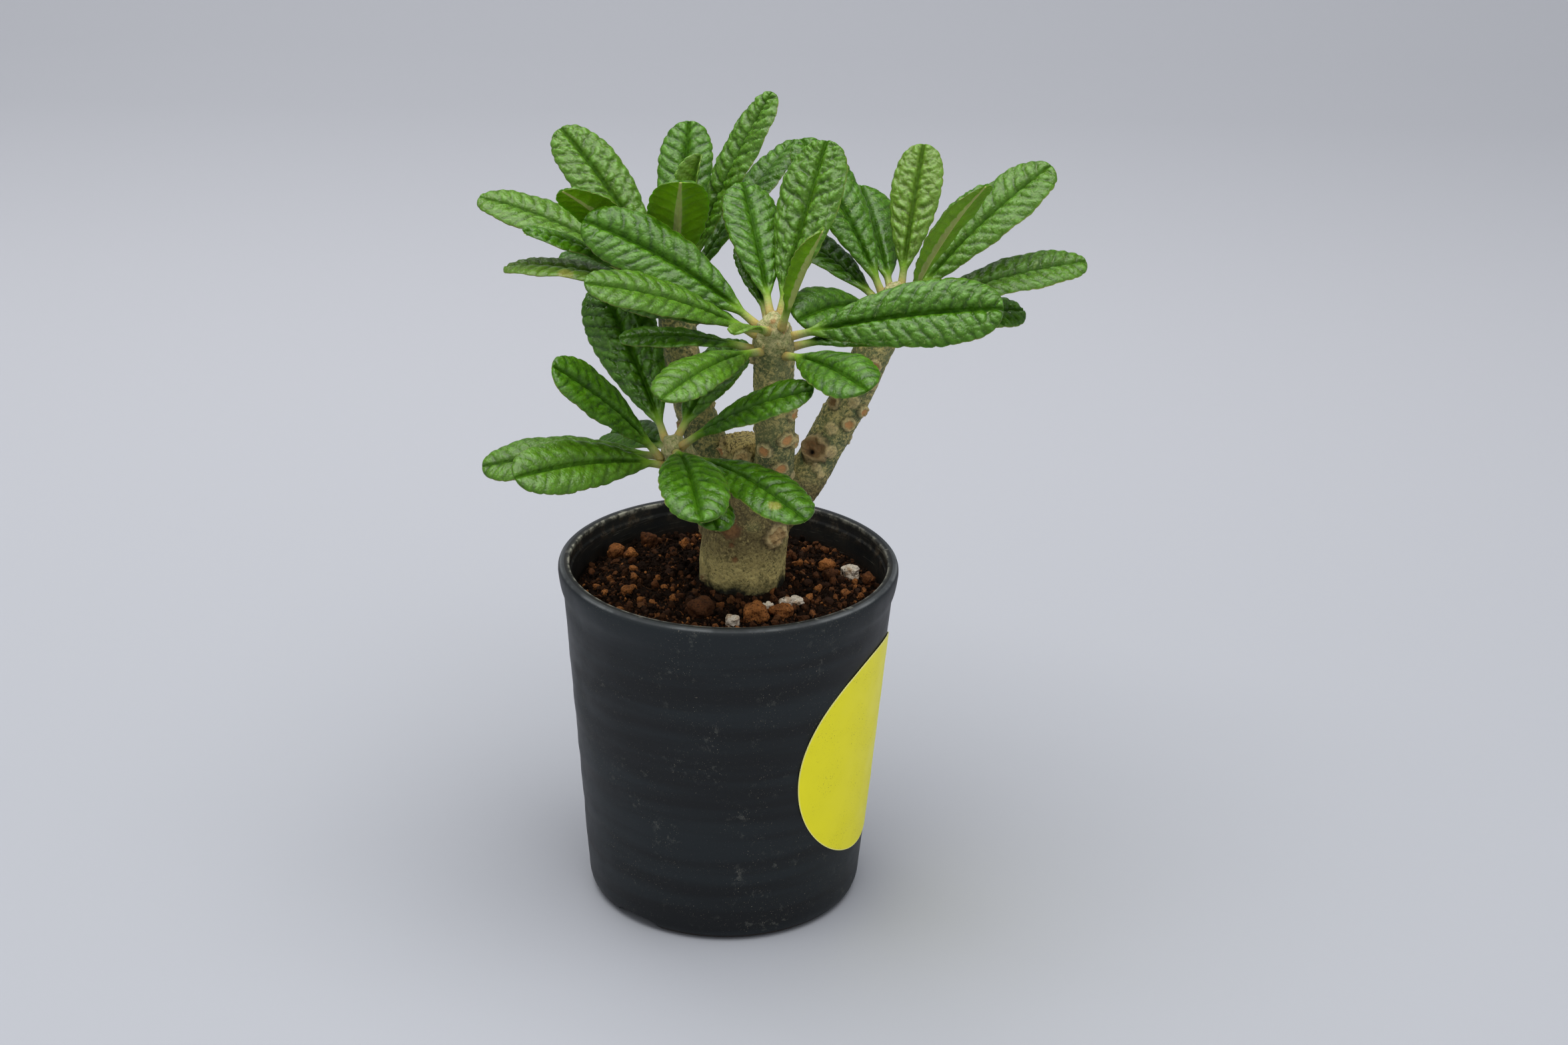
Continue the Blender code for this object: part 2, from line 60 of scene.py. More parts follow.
# The pot
POT_HEIGHT = 79.0
RIM_RADIUS = 37.5
BASE_RADIUS = 30.9
BASE_CORNER_TOP = 4.0
WALL = 1.3
LIP_HEIGHT = 6.5
LIP_STEP = 1.2
LIP_FOOT = POT_HEIGHT - LIP_HEIGHT
WALL_SLOPE = (RIM_RADIUS - LIP_STEP - BASE_RADIUS) / (LIP_FOOT - BASE_CORNER_TOP)
FLOOR_UNDERSIDE = 2.8
FLOOR_TOP = 4.4
FLOOR_FILLET = 1.5
INNER_STEP = 0.4
INNER_FOOT = (BASE_RADIUS - WALL, FLOOR_TOP + FLOOR_FILLET)
INNER_TOP = (RIM_RADIUS - LIP_STEP - WALL - INNER_STEP, POT_HEIGHT - 2.9)
RIM_INNER = INNER_TOP[0] + INNER_STEP
FOOT_RING_INNER = 26.5
CENTRE_FOOT_RADIUS = 6.0
NOTCH_HEADINGS = (-130.2, -10.2, 109.8)
NOTCH_WIDTH = 14.0
NOTCH_HEIGHT = 2.5
DRAIN_HOLES = 6
DRAIN_HOLE_RADIUS = 2.5
DRAIN_CIRCLE_RADIUS = 16.0
POT_SIDES = 240
WALL_WAVE = 0.22

# The round label on the wall
LABEL_RADIUS = 25.0
LABEL_HEADING = -19.8
LABEL_CENTRE_HEIGHT = 40.0
LABEL_RINGS = 40
LABEL_SIDES = 160

# The soil
SOIL_EDGE_HEIGHT = 71.0
SOIL_MIDDLE_HEIGHT = 72.0
SOIL_GAP = 0.3
SOIL_SIDES = 180
SOIL_RINGS = 60

# The stem: x, y, z and radius along each run, from its foot up
RUNS = {
    "trunk": (
        (3.0, 3.0, 56.0, 5.5),
        (3.0, 3.0, 62.0, 8.4),
        (3.0, 3.0, 70.0, 9.4),
        (3.2, 2.9, 77.0, 9.5),
        (3.6, 2.6, 85.0, 9.6),
        (4.4, 2.4, 92.0, 10.0),
        (5.0, 2.4, 98.0, 8.8),
    ),
    "back": (
        (0.5, 3.0, 88.0, 5.4),
        (-2.0, 5.0, 97.0, 5.0),
        (-5.8, 9.0, 105.0, 4.4),
        (-9.5, 12.0, 115.0, 4.2),
        (-12.0, 15.0, 128.0, 4.1),
        (-13.0, 17.0, 141.0, 4.0),
    ),
    "front": (
        (6.5, 0.5, 86.0, 5.6),
        (8.2, -2.5, 95.0, 4.8),
        (9.5, -5.0, 104.0, 4.3),
        (9.5, -7.0, 114.0, 4.2),
        (8.8, -10.0, 128.0, 4.3),
        (8.4, -13.5, 140.5, 4.2),
    ),
    "right": (
        (7.0, 1.5, 86.0, 5.0),
        (15.0, 2.0, 95.5, 4.5),
        (21.5, 4.0, 107.0, 4.3),
        (28.0, 6.0, 120.0, 4.2),
        (33.5, 8.0, 133.0, 4.2),
        (36.0, 9.0, 140.5, 4.0),
    ),
    "low": (
        (1.0, -1.0, 88.0, 4.8),
        (-4.0, -6.0, 97.0, 4.0),
        (-9.0, -11.0, 105.0, 3.6),
        (-13.0, -16.0, 113.5, 3.4),
    ),
    "stub": (
        (3.0, 2.5, 94.0, 5.2),
        (3.1, 3.0, 101.0, 4.9),
        (3.1, 3.3, 106.5, 4.4),
    ),
}
LEAFY_RUNS = ("back", "front", "right", "low")
RUN_SIDES = 56
RUN_STEP = 0.7
TIP_TAPER = 8.0

# The marks on the bark: run, height of its axis, heading, radius and kind
MARKS = (
    ("right", 113.0, -138, 1.3, "ring"),
    ("right", 116.0, -85, 1.3, "faded"),
    ("right", 111.4, -65, 1.5, "fresh"),
    ("right", 114.0, -36, 1.4, "fresh"),
    ("right", 109.2, -108, 1.3, "faded"),
    ("right", 104.3, -121, 2.9, "cut"),
    ("right", 105.0, -73, 1.4, "faded"),
    ("right", 101.0, -89, 1.1, "faded"),
    ("right", 100.2, -63, 0.9, "faded"),
    ("right", 123.4, -77, 1.6, "fresh"),
    ("right", 119.6, -50, 1.3, "faded"),
    ("front", 109.2, -121, 1.7, "fresh"),
    ("front", 111.8, -59, 1.8, "fresh"),
    ("front", 110.0, -22, 1.6, "fresh"),
    ("front", 105.4, -75, 1.6, "fresh"),
    ("front", 117.0, -32, 1.4, "fresh"),
    ("stub", 103.4, -95, 1.9, "holed"),
    ("stub", 104.6, 176, 1.5, "ring"),
    ("stub", 103.6, -158, 1.1, "fresh"),
    ("trunk", 88.2, -49, 3.0, "knot"),
    ("trunk", 88.6, -112, 2.4, "stain"),
    ("trunk", 84.8, -109, 0.6, "pit"),
    ("trunk", 82.0, -103, 0.7, "pit"),
    ("trunk", 74.9, -152, 0.9, "ring"),
    ("trunk", 84.0, 160, 2.2, "ring"),
    ("trunk", 90.0, 60, 2.0, "faded"),
    ("trunk", 81.0, 30, 1.6, "ring"),
)
# The other leaf scars climb each run in a spiral: run, first and last height, and heading
SPIRALS = (
    ("back", 99.0, 132.0, 20),
    ("front", 98.0, 132.0, 60),
    ("right", 97.0, 133.0, 40),
    ("low", 96.0, 108.0, 10),
)
BARK_MASKS = ("scar", "cork", "outline", "stain", "hole", "young", "dry")
SPIRAL_STEP = 2.3
SPIRAL_TURN = 137.5

# The leaves
PETIOLE_LENGTH = 3.2
PETIOLE_RADIUS = 0.8
PETIOLE_GAP = 0.3
BLADE_BASE_POWER = 0.84
BLADE_TIP_POWER = 0.42
BLADE_FOLD = 9.0

# One row for each leaf: how far below the shoot's tip it sits, its heading, its rise at the
# foot, its length with the petiole, its width, how far it bends up along its length, its
# twist about its own midrib and, where it is folded more than usual, its fold
LEAVES = {
    "back": (
        (3, 136, 50, 42, 13, -20, -25),
        (4, 163, 34, 44, 13, -28, -15),
        (3, -145, 58, 34, 12, -26, 30),
        (5, -153, 40, 35, 12, -22, -5),
        (7, 165, 22, 35, 12, -34, 0),
        (3, 84, 62, 36, 12, -16, 0),
        (2, 28, 70, 43, 12, -16, 5),
        (1, 52, 78, 25, 6, -4, 0, 60),
        (3, -85, 70, 31, 13, -20, 0),
        (8, 134, 16, 32, 12, -20, -10),
        (5, 44, 50, 42, 12, -20, -10),
    ),
    "front": (
        (3, 164, 38, 42, 14, -24, -42),
        (4, -165, 32, 38, 12, -24, -25),
        (8, -168, 18, 28, 10, -22, -5),
        (7, -128, 12, 32, 12, -30, -10),
        (8, -54, 14, 27, 13, -26, 20),
        (5, -9, 18, 44, 15, -13, 50),
        (2, -114, 25, 17, 5, -20, 0, 30),
        (2, 66, 60, 39, 14, -14, 0),
        (1, 104, 48, 32, 12, -16, 0),
        (4, 106, 38, 21, 7, -10, 0),
        (1, -52, 70, 26, 8, -14, 20, 30),
        (6, 152, 14, 32, 11, -22, -15),
        (9, 14, 12, 21, 9, -22, 10),
    ),
    "right": (
        (1, 74, 62, 32, 11, -10, 0),
        (2, -46, 66, 35, 12, -20, 0),
        (3, 22, 50, 42, 14, -20, 20),
        (5, 12, 23, 40, 12, -20, 20),
        (4, 128, 53, 40, 13, -18, -10),
        (3, 103, 41, 31, 13, -20, 10),
        (6, 131, 26, 36, 13, -24, 0),
        (9, 22, 12, 29, 12, -22, 20),
        (7, -140, 28, 23, 12, -46, -35),
    ),
    "low": (
        (3, -160, 54, 32, 13, -20, -35),
        (5, -146, 19, 36, 13, -24, -35),
        (5, 180, 5, 38, 13, -20, -20),
        (2, -80, 20, 34, 14, -46, 0),
        (5, -46, 9, 35, 13, -30, 10),
        (3, 62, 36, 30, 12, -20, 0),
        (7, 122, -2, 27, 12, -20, -20),
        (2, -18, 41, 32, 12, -24, 20),
        (6, -75, 6, 26, 11, -30, -15),
        (2, 117, 45, 41, 15, -18, -30),
    ),
}
# Leaves that differ from the rest, which have 1, 0 and 0.3: how wrinkled and how yellow they
# are, and how much their pale veins and the painted sheen on their pillows show
MOOD = (1.0, 0.0, 0.3)
LOW_MOOD = (0.85, 0.0, 0.1)
LEAF_MOODS = {
    ("front", 1): (0.9, 0.0, 0.1),
    ("front", 2): (0.6, 0.1, 0.1),
    ("front", 3): (0.6, 0.0, 0.1),
    ("front", 4): (0.5, 0.1, 0.1),
    ("front", 5): (0.4, 0.0, 0.1),
    ("front", 6): (1.1, 0.0, 0.6),
    ("front", 7): (0.6, 0.4, 0.2),
    ("front", 8): (1.4, 0.1, 0.2),
    ("front", 11): (0.8, 0.3, 0.3),
    ("right", 1): (1.3, 0.45, 0.5),
    ("right", 3): (1.0, 0.1, 0.6),
    ("right", 4): (0.9, 0.1, 0.7),
    ("right", 5): (0.8, 0.0, 0.9),
    ("right", 6): (0.5, 0.0, 0.5),
    ("right", 9): (0.3, 0.0, 0.1),
    ("back", 1): (1.25, 0.15, 0.6),
    ("back", 2): (0.9, 0.15, 0.5),
    ("back", 5): (1.0, 0.4, 0.4),
    ("back", 7): (1.25, 0.1, 0.4),
    ("back", 8): (0.8, 0.4, 0.3),
    ("low", 1): (0.5, 0.0, 0.1),
    ("low", 2): (0.4, 0.1, 0.1),
    ("low", 3): (0.5, 0.1, 0.1),
    ("low", 4): (0.6, 0.0, 0.1),
    ("low", 5): (0.6, 0.0, 0.1),
    ("low", 10): (1.4, 0.0, 0.2),
}

# Dry spots on the leaves: place and radius
LEAF_SPOTS = {
    ("low", 5): ((9.2, -38.8, 108.2), 1.35),
    ("back", 5): ((-36.4, 17.4, 138.0), 1.8),
}

# The larger stones on the soil: x, y, three radii, the turn, the kind and how orange it is
STONES = (
    (6.0, -16.4, 2.9, 2.4, 2.1, 20, "clay", 0.85),
    (11.6, -14.6, 2.5, 1.7, 1.5, 10, "clay", 0.75),
    (-5.9, -15.1, 3.2, 2.7, 2.3, 60, "clay", 0.30),
    (22.1, 10.7, 1.8, 1.5, 1.3, 30, "clay", 0.90),
    (31.2, 4.6, 1.3, 1.9, 1.4, 10, "clay", 0.50),
    (-18.3, 24.3, 2.0, 1.7, 1.7, 15, "clay", 0.40),
    (-25.7, 18.0, 2.0, 1.7, 1.6, 50, "clay", 0.70),
    (-22.0, 16.6, 1.2, 1.4, 1.2, 0, "clay", 0.90),
    (-22.2, -3.9, 1.4, 1.2, 1.1, 40, "clay", 0.75),
    (13.6, -9.4, 2.5, 1.4, 1.3, 20, "pumice", 0.0),
    (8.6, -11.6, 1.3, 0.9, 1.0, 40, "pumice", 0.0),
    (0.9, -19.6, 1.5, 1.3, 1.3, 0, "pumice", 0.0),
    (27.2, 7.4, 2.1, 1.6, 1.5, 160, "pumice", 0.0),
)

# The view: lens and distance, and where in a picture of this size the aim point falls
PICTURE_SIZE = (2353, 1568)
SENSOR_WIDTH = 36.0
LENS = 62.3
AIM_HEIGHT = 39.5
AIM_DISTANCE = 614.9
AIM_ELEVATION = 27.15
AIM_PIXEL = (1089.8, 1078.9)
CAMERA_ROLL = -0.83


# Settings


def colour_of(text, default):
    return FloatVectorProperty(
        name=text, description=text, subtype="COLOR", size=3, min=0.0, max=1.0, default=default
    )


def length_of(text, default):
    return FloatProperty(
        name=text, description=text, unit="LENGTH", subtype="DISTANCE", min=0.0, default=default
    )


def share_of(text, default):
    return FloatProperty(
        name=text, description=text, subtype="FACTOR", min=0.0, max=1.0, default=default
    )


def count_of(text, default):
    return FloatProperty(
        name=text, description=text + " on a square metre of soil", min=0.0, default=default
    )


class LeafSettings(bpy.types.PropertyGroup):
    """How the leaves are cut, wrinkled and coloured."""

    thickness: length_of("Thickness of the blade", 0.00055)
    wrinkle: length_of("Height of the pillows between the veins", 0.0006)
    vein_spacing: length_of("Space between the side veins", 0.0029)
    scallop: length_of("Depth of the scallops along the margin", 0.00026)
    cell: length_of("Step between points of the mesh", 0.00034)
    # The green in the hollows is partly painted shade, and it also paints the shade in the midrib's groove
    deep: colour_of("Green in the hollows", (0.012, 0.045, 0.001))
    fresh: colour_of("Green on the pillows", (0.080, 0.195, 0.003))
    underside: colour_of("Green of the underside", (0.19, 0.38, 0.002))
    petiole: colour_of("Petiole and raised midrib", (0.33, 0.38, 0.11))
    margin: colour_of("Thin line along the margin", (0.17, 0.17, 0.045))
    roughness: share_of("Roughness of the top", 0.37)


class StemSettings(bpy.types.PropertyGroup):
    """How the bark is lumped and coloured."""

    voxel: length_of("Cell that the runs are fused in", 0.0004)
    lumps: length_of("Height of the slow lumps", 0.00030)
    grain: length_of("Height of the grain", 0.00015)
    green: colour_of("Grey-green bark", (0.188, 0.208, 0.088))
    tan: colour_of("Tan flecks in the bark", (0.610, 0.505, 0.215))
    scar: colour_of("Face of a leaf scar", (0.60, 0.32, 0.130))
    rim: colour_of("Corky rim of a leaf scar", (0.70, 0.56, 0.29))


class PotSettings(bpy.types.PropertyGroup):
    """The pot's plastic and its wear."""

    plastic: colour_of("Black plastic", (0.0030, 0.0044, 0.0056))
    worn: colour_of("Worn and dusty plastic", (0.16, 0.165, 0.17))
    roughness: share_of("Roughness of the plastic", 0.46)


class LabelSettings(bpy.types.PropertyGroup):
    """The plain round sticker."""

    colour: colour_of("Face of the sticker", (0.80, 0.74, 0.015))
    thickness: length_of("Thickness of the sticker", 0.0002)
    wrinkle: length_of("Height of its wrinkles", 0.00012)
    roughness: share_of("Roughness of the sticker", 0.36)


class SoilSettings(bpy.types.PropertyGroup):
    """The potting mix and what lies on it."""

    dust: count_of("Finest crumbs", 2000000.0)
    crumbs: count_of("Crumbs", 330000.0)
    granules: count_of("Clay granules", 190000.0)
    lumps: count_of("Larger lumps", 17000.0)
    fibres: count_of("Fibres", 90000.0)
    seed: IntProperty(name="Seed", description="Changes how the mix falls", default=7)
    dark: colour_of("Dark humus", (0.020, 0.0100, 0.0055))
    brown: colour_of("Brown crumbs", (0.150, 0.064, 0.028))
    clay: colour_of("Baked clay", (0.42, 0.175, 0.055))
    pumice: colour_of("Pumice", (0.70, 0.61, 0.50))


class StageSettings(bpy.types.PropertyGroup):
    """The floor, the light and the camera."""

    near: colour_of("Floor under the pot", (0.345, 0.351, 0.373))
    far: colour_of("Floor and backdrop farther back", (0.388, 0.391, 0.413))
    power: FloatProperty(name="Softbox", description="Power", unit="POWER", default=10.3)
    sheen: FloatProperty(name="Light behind", description="Power", unit="POWER", default=1.0)
    sky: FloatProperty(name="Sky", description="Strength of the even light", default=0.8)


class PlantSettings(bpy.types.PropertyGroup):
    """All settings of the plant."""

    leaf: PointerProperty(type=LeafSettings, name="Leaves", description="Leaves")
    stem: PointerProperty(type=StemSettings, name="Stem", description="Stem")
    pot: PointerProperty(type=PotSettings, name="Pot", description="Pot")
    label: PointerProperty(type=LabelSettings, name="Label", description="Label")
    soil: PointerProperty(type=SoilSettings, name="Soil", description="Soil")
    stage: PointerProperty(type=StageSettings, name="Stage", description="Stage")


# Node trees


def feed(tree, socket, value):
    """Sets a node's input to a plain value, or feeds it from another node's output."""
    if isinstance(value, Calc):
        value = value.socket
    if isinstance(value, bpy.types.NodeSocket):
        tree.links.new(value, socket)
    else:
        socket.default_value = value


def add(tree, kind, inputs=None, **settings):
    """A new node with these settings and inputs."""
    node = tree.nodes.new(kind)
    for name, value in settings.items():
        setattr(node, name, value)
    for key, value in (inputs or {}).items():
        feed(tree, node.inputs[key], value)
    return node


def sum_of(tree, operation, *values):
    """The result of one maths node."""
    node = add(tree, "ShaderNodeMath", dict(enumerate(values)), operation=operation)
    return Calc(tree, node.outputs[0])


class Calc:
    """A number in a node tree. Plain arithmetic on it adds the tree's own maths nodes."""

    def __init__(self, tree, socket):
        self.tree = tree
        self.socket = socket

    def __add__(self, other):
        return sum_of(self.tree, "ADD", self, other)

    def __radd__(self, other):
        return sum_of(self.tree, "ADD", other, self)

    def __sub__(self, other):
        return sum_of(self.tree, "SUBTRACT", self, other)

    def __rsub__(self, other):
        return sum_of(self.tree, "SUBTRACT", other, self)

    def __mul__(self, other):
        return sum_of(self.tree, "MULTIPLY", self, other)

    def __rmul__(self, other):
        return sum_of(self.tree, "MULTIPLY", other, self)

    def __truediv__(self, other):
        return sum_of(self.tree, "DIVIDE", self, other)

    def __rtruediv__(self, other):
        return sum_of(self.tree, "DIVIDE", other, self)

    def __pow__(self, other):
        return sum_of(self.tree, "POWER", self, other)

    def __neg__(self):
        return sum_of(self.tree, "MULTIPLY", self, -1.0)

    def size(self):
        return sum_of(self.tree, "ABSOLUTE", self)

    def sin(self):
        return sum_of(self.tree, "SINE", self)

    def cos(self):
        return sum_of(self.tree, "COSINE", self)

    def root(self):
        return sum_of(self.tree, "SQRT", self)

    def part(self):
        return sum_of(self.tree, "FRACT", self)

    def at_least(self, other):
        return sum_of(self.tree, "MAXIMUM", self, other)

    def at_most(self, other):
        return sum_of(self.tree, "MINIMUM", self, other)

    def above(self, other):
        return sum_of(self.tree, "GREATER_THAN", self, other)

    def bell(self, width):
        """1 at zero, falling smoothly to 0 over about this width to either side."""
        share = self / width
        return sum_of(self.tree, "EXPONENT", -(share * share))

    def rise(self, low, high, start=0.0, end=1.0):
        """Climbs smoothly from start to end as the number goes from low to high."""
        node = add(
            self.tree,
            "ShaderNodeMapRange",
            {"Value": self, "From Min": low, "From Max": high, "To Min": start, "To Max": end},
            interpolation_type="SMOOTHSTEP",
        )
        return Calc(self.tree, node.outputs["Result"])


def vector_of(tree, x, y, z):
    return add(tree, "ShaderNodeCombineXYZ", {"X": x, "Y": y, "Z": z}).outputs[0]


def parts_of(tree, vector):
    node = add(tree, "ShaderNodeSeparateXYZ", {0: vector})
    return [Calc(tree, output) for output in node.outputs]


def noise_of(tree, vector, scale, detail=2.0, roughness=0.5, distortion=0.0):
    """A noise between about 0 and 1."""
    node = add(
        tree,
        "ShaderNodeTexNoise",
        {
            "Vector": vector,
            "Scale": scale,
            "Detail": detail,
            "Roughness": roughness,
            "Distortion": distortion,
        },
    )
    return Calc(tree, node.outputs[0])


def cells_of(tree, vector, scale, feature="DISTANCE_TO_EDGE"):
    """The distance to the nearest cell wall, or from the nearest cell's middle."""
    node = add(
        tree, "ShaderNodeTexVoronoi", {"Vector": vector, "Scale": scale}, feature=feature
    )
    return Calc(tree, node.outputs["Distance"])


def tree_of(name, sizes):
    """A node tree that gives a mesh, with these named inputs."""
    tree = bpy.data.node_groups.new(name, "GeometryNodeTree")
    tree.interface.new_socket("Geometry", in_out="INPUT", socket_type="NodeSocketGeometry")
    for label, kind in sizes.items():
        tree.interface.new_socket(label, in_out="INPUT", socket_type="NodeSocket" + kind)
    tree.interface.new_socket("Geometry", in_out="OUTPUT", socket_type="NodeSocketGeometry")
    tree.nodes.new("NodeGroupInput")
    tree.nodes.new("NodeGroupOutput")
    return tree


def given(tree, label):
    """What the tree is given under this name."""
    return Calc(tree, tree.nodes["Group Input"].outputs[label])


def store(tree, geometry, name, value, domain="POINT"):
    """Keeps a number on the mesh under a name that the material can read."""
    node = add(
        tree,
        "GeometryNodeStoreNamedAttribute",
        {"Geometry": geometry, "Name": name, "Value": value},
        data_type="FLOAT",
        domain=domain,
    )
    return node.outputs[0]


def finish_tree(tree, geometry, material):
    """Ends a tree: real geometry, in its material."""
    real = add(tree, "GeometryNodeRealizeInstances", {0: geometry}).outputs[0]
    dressed = add(tree, "GeometryNodeSetMaterial", {"Geometry": real, "Material": material})
    tree.links.new(dressed.outputs[0], tree.nodes["Group Output"].inputs[0])


def run_tree(obj, tree, values):
    """Runs a tree on an object and keeps the result as the object's plain mesh."""
    modifier = obj.modifiers.new(tree.name, "NODES")
    modifier.node_group = tree
    for item in tree.interface.items_tree:
        if item.in_out == "INPUT" and item.name in values:
            modifier[item.identifier] = values[item.name]
    return keep_result(obj)


def keep_result(obj):
    """Turns what an object's modifiers make into its own mesh."""
    graph = bpy.context.evaluated_depsgraph_get()
    made = bpy.data.meshes.new_from_object(
        obj.evaluated_get(graph), preserve_all_data_layers=True, depsgraph=graph
    )
    obj.modifiers.clear()
    obj.data = made
    made.name = obj.name
    return obj


# Meshes


def link(name, mesh):
    obj = bpy.data.objects.new(name, mesh)
    bpy.context.scene.collection.objects.link(obj)
    return obj


def object_from(name, bm, material=None, smooth=True, sharp=35.0):
    """A scene object made of a bmesh that is in millimetres."""
    bmesh.ops.scale(bm, vec=(MM, MM, MM), verts=bm.verts)
    bmesh.ops.recalc_face_normals(bm, faces=bm.faces)
    mesh = bpy.data.meshes.new(name)
    bm.to_mesh(mesh)
    bm.free()
    if smooth:
        mesh.shade_smooth()
        mesh.set_sharp_from_angle(angle=math.radians(sharp))
    if material:
        mesh.materials.append(material)
    return link(name, mesh)


def settle(obj, slot, *nodes):
    """Lets a finished piece stand for its solids and ride on the plant."""
    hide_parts(*nodes)
    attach(obj, "root")


def heading_vector(heading):
    angle = math.radians(heading)
    return Vector((math.cos(angle), math.sin(angle), 0.0))


def bridge(bm, first, second):
    """Faces between two rings of as many points, either of which may be a single point."""
    count = max(len(first), len(second))
    for i in range(count):
        j = (i + 1) % count
        if len(first) == 1:
            bm.faces.new((first[0], second[i], second[j]))
        elif len(second) == 1:
            bm.faces.new((first[j], first[i], second[0]))
        else:
            bm.faces.new((first[i], second[i], second[j], first[j]))


def loft_into(bm, rings):
    """A closed skin through rings of points, whose first and last ring is a single point."""
    made = [[bm.verts.new(point) for point in ring] for ring in rings]
    for first, second in zip(made, made[1:]):
        bridge(bm, first, second)


def loft(rings):
    bm = bmesh.new()
    loft_into(bm, rings)
    return bm


def turned(profile, sides):
    """A turned solid: the profile's points are (radius, height), from the axis back to the axis."""
    rings = []
    for radius, height in profile:
        level = Vector((0.0, 0.0, height))
        if radius == 0.0:
            rings.append([level])
        else:
            turns = [360.0 * i / sides for i in range(sides)]
            rings.append([level + heading_vector(turn) * radius for turn in turns])
    return loft(rings)


def wall_radius(height):
    return BASE_RADIUS + (height - BASE_CORNER_TOP) * WALL_SLOPE


def inner_radius(height):
    share = (height - INNER_FOOT[1]) / (INNER_TOP[1] - INNER_FOOT[1])
    return INNER_FOOT[0] + share * (INNER_TOP[0] - INNER_FOOT[0])


def along_run(run, share):
    """The smooth curve through a run's points, with its radius, at 0 to 1 of its length."""
    last = len(run) - 1
    place = min(max(share, 0.0), 1.0) * last
    i = min(int(place), last - 1)
    t = place - i
    before, start, end, after = (Vector(run[min(max(k, 0), last)]) for k in (i - 1, i, i + 1, i + 2))
    return 0.5 * (
        2 * start
        + (end - before) * t
        + (2 * before - 5 * start + 4 * end - after) * t * t
        + (3 * start - before - 3 * end + after) * t * t * t
    )


def run_table(run, steps=60):
    """Points, radii and lengths so far at even steps along a run."""
    samples = [along_run(run, i / steps) for i in range(steps + 1)]
    points = [Vector(sample[:3]) for sample in samples]
    lengths = [0.0]
    for a, b in zip(points, points[1:]):
        lengths.append(lengths[-1] + (b - a).length)
    return points, [sample[3] for sample in samples], lengths


def step_at(lengths, reach):
    return max(k for k in range(len(lengths) - 1) if k == 0 or lengths[k] <= reach)


def tip_share(drop):
    """How much of its full radius a shoot has this far below its tip."""
    if drop >= TIP_TAPER:
        return 1.0
    return math.sqrt(max(1.0 - (1.0 - drop / TIP_TAPER) ** 2, 0.0))


def shoot_place(run, drop):
    """The axis point, the direction and the radius this far below a shoot's tip."""
    points, radii, lengths = run_table(run)
    reach = lengths[-1] - drop
    i = step_at(lengths, reach)
    direction = (points[i + 1] - points[i]).normalized()
    place = points[i] + direction * (reach - lengths[i])
    return place, direction, radii[i] * tip_share(drop)


# Leaves


def risen(heading, rise):
    """The direction that has this heading and this rise above level."""
    angle = math.radians(rise)
    return heading_vector(heading) * math.cos(angle) + Vector((0, 0, math.sin(angle)))


def leaf_foot(run, drop, heading, rise):
    """Where a petiole leaves the bark."""
    place, direction, radius = shoot_place(run, drop)
    outward = heading_vector(heading)
    outward = (outward - direction * outward.dot(direction)).normalized()
    lean = risen(heading, rise).dot(outward)
    overhang = PETIOLE_RADIUS * math.sqrt(1.0 - lean * lean)
    return place + outward * (radius + PETIOLE_GAP + overhang)


LEAF_INPUTS = {
    "Length": "Float",
    "Petiole": "Float",
    "Root": "Float",
    "Width": "Float",
    "Thickness": "Float",
    "Bend": "Float",
    "Twist": "Float",
    "Fold": "Float",
    "Wrinkle": "Float",
    "Crumple": "Float",
    "Vein spacing": "Float",
    "Scallop": "Float",
    "Age": "Float",
    "Netting": "Float",
    "Seed": "Float",
    "Rows": "Int",
    "Columns": "Int",
}


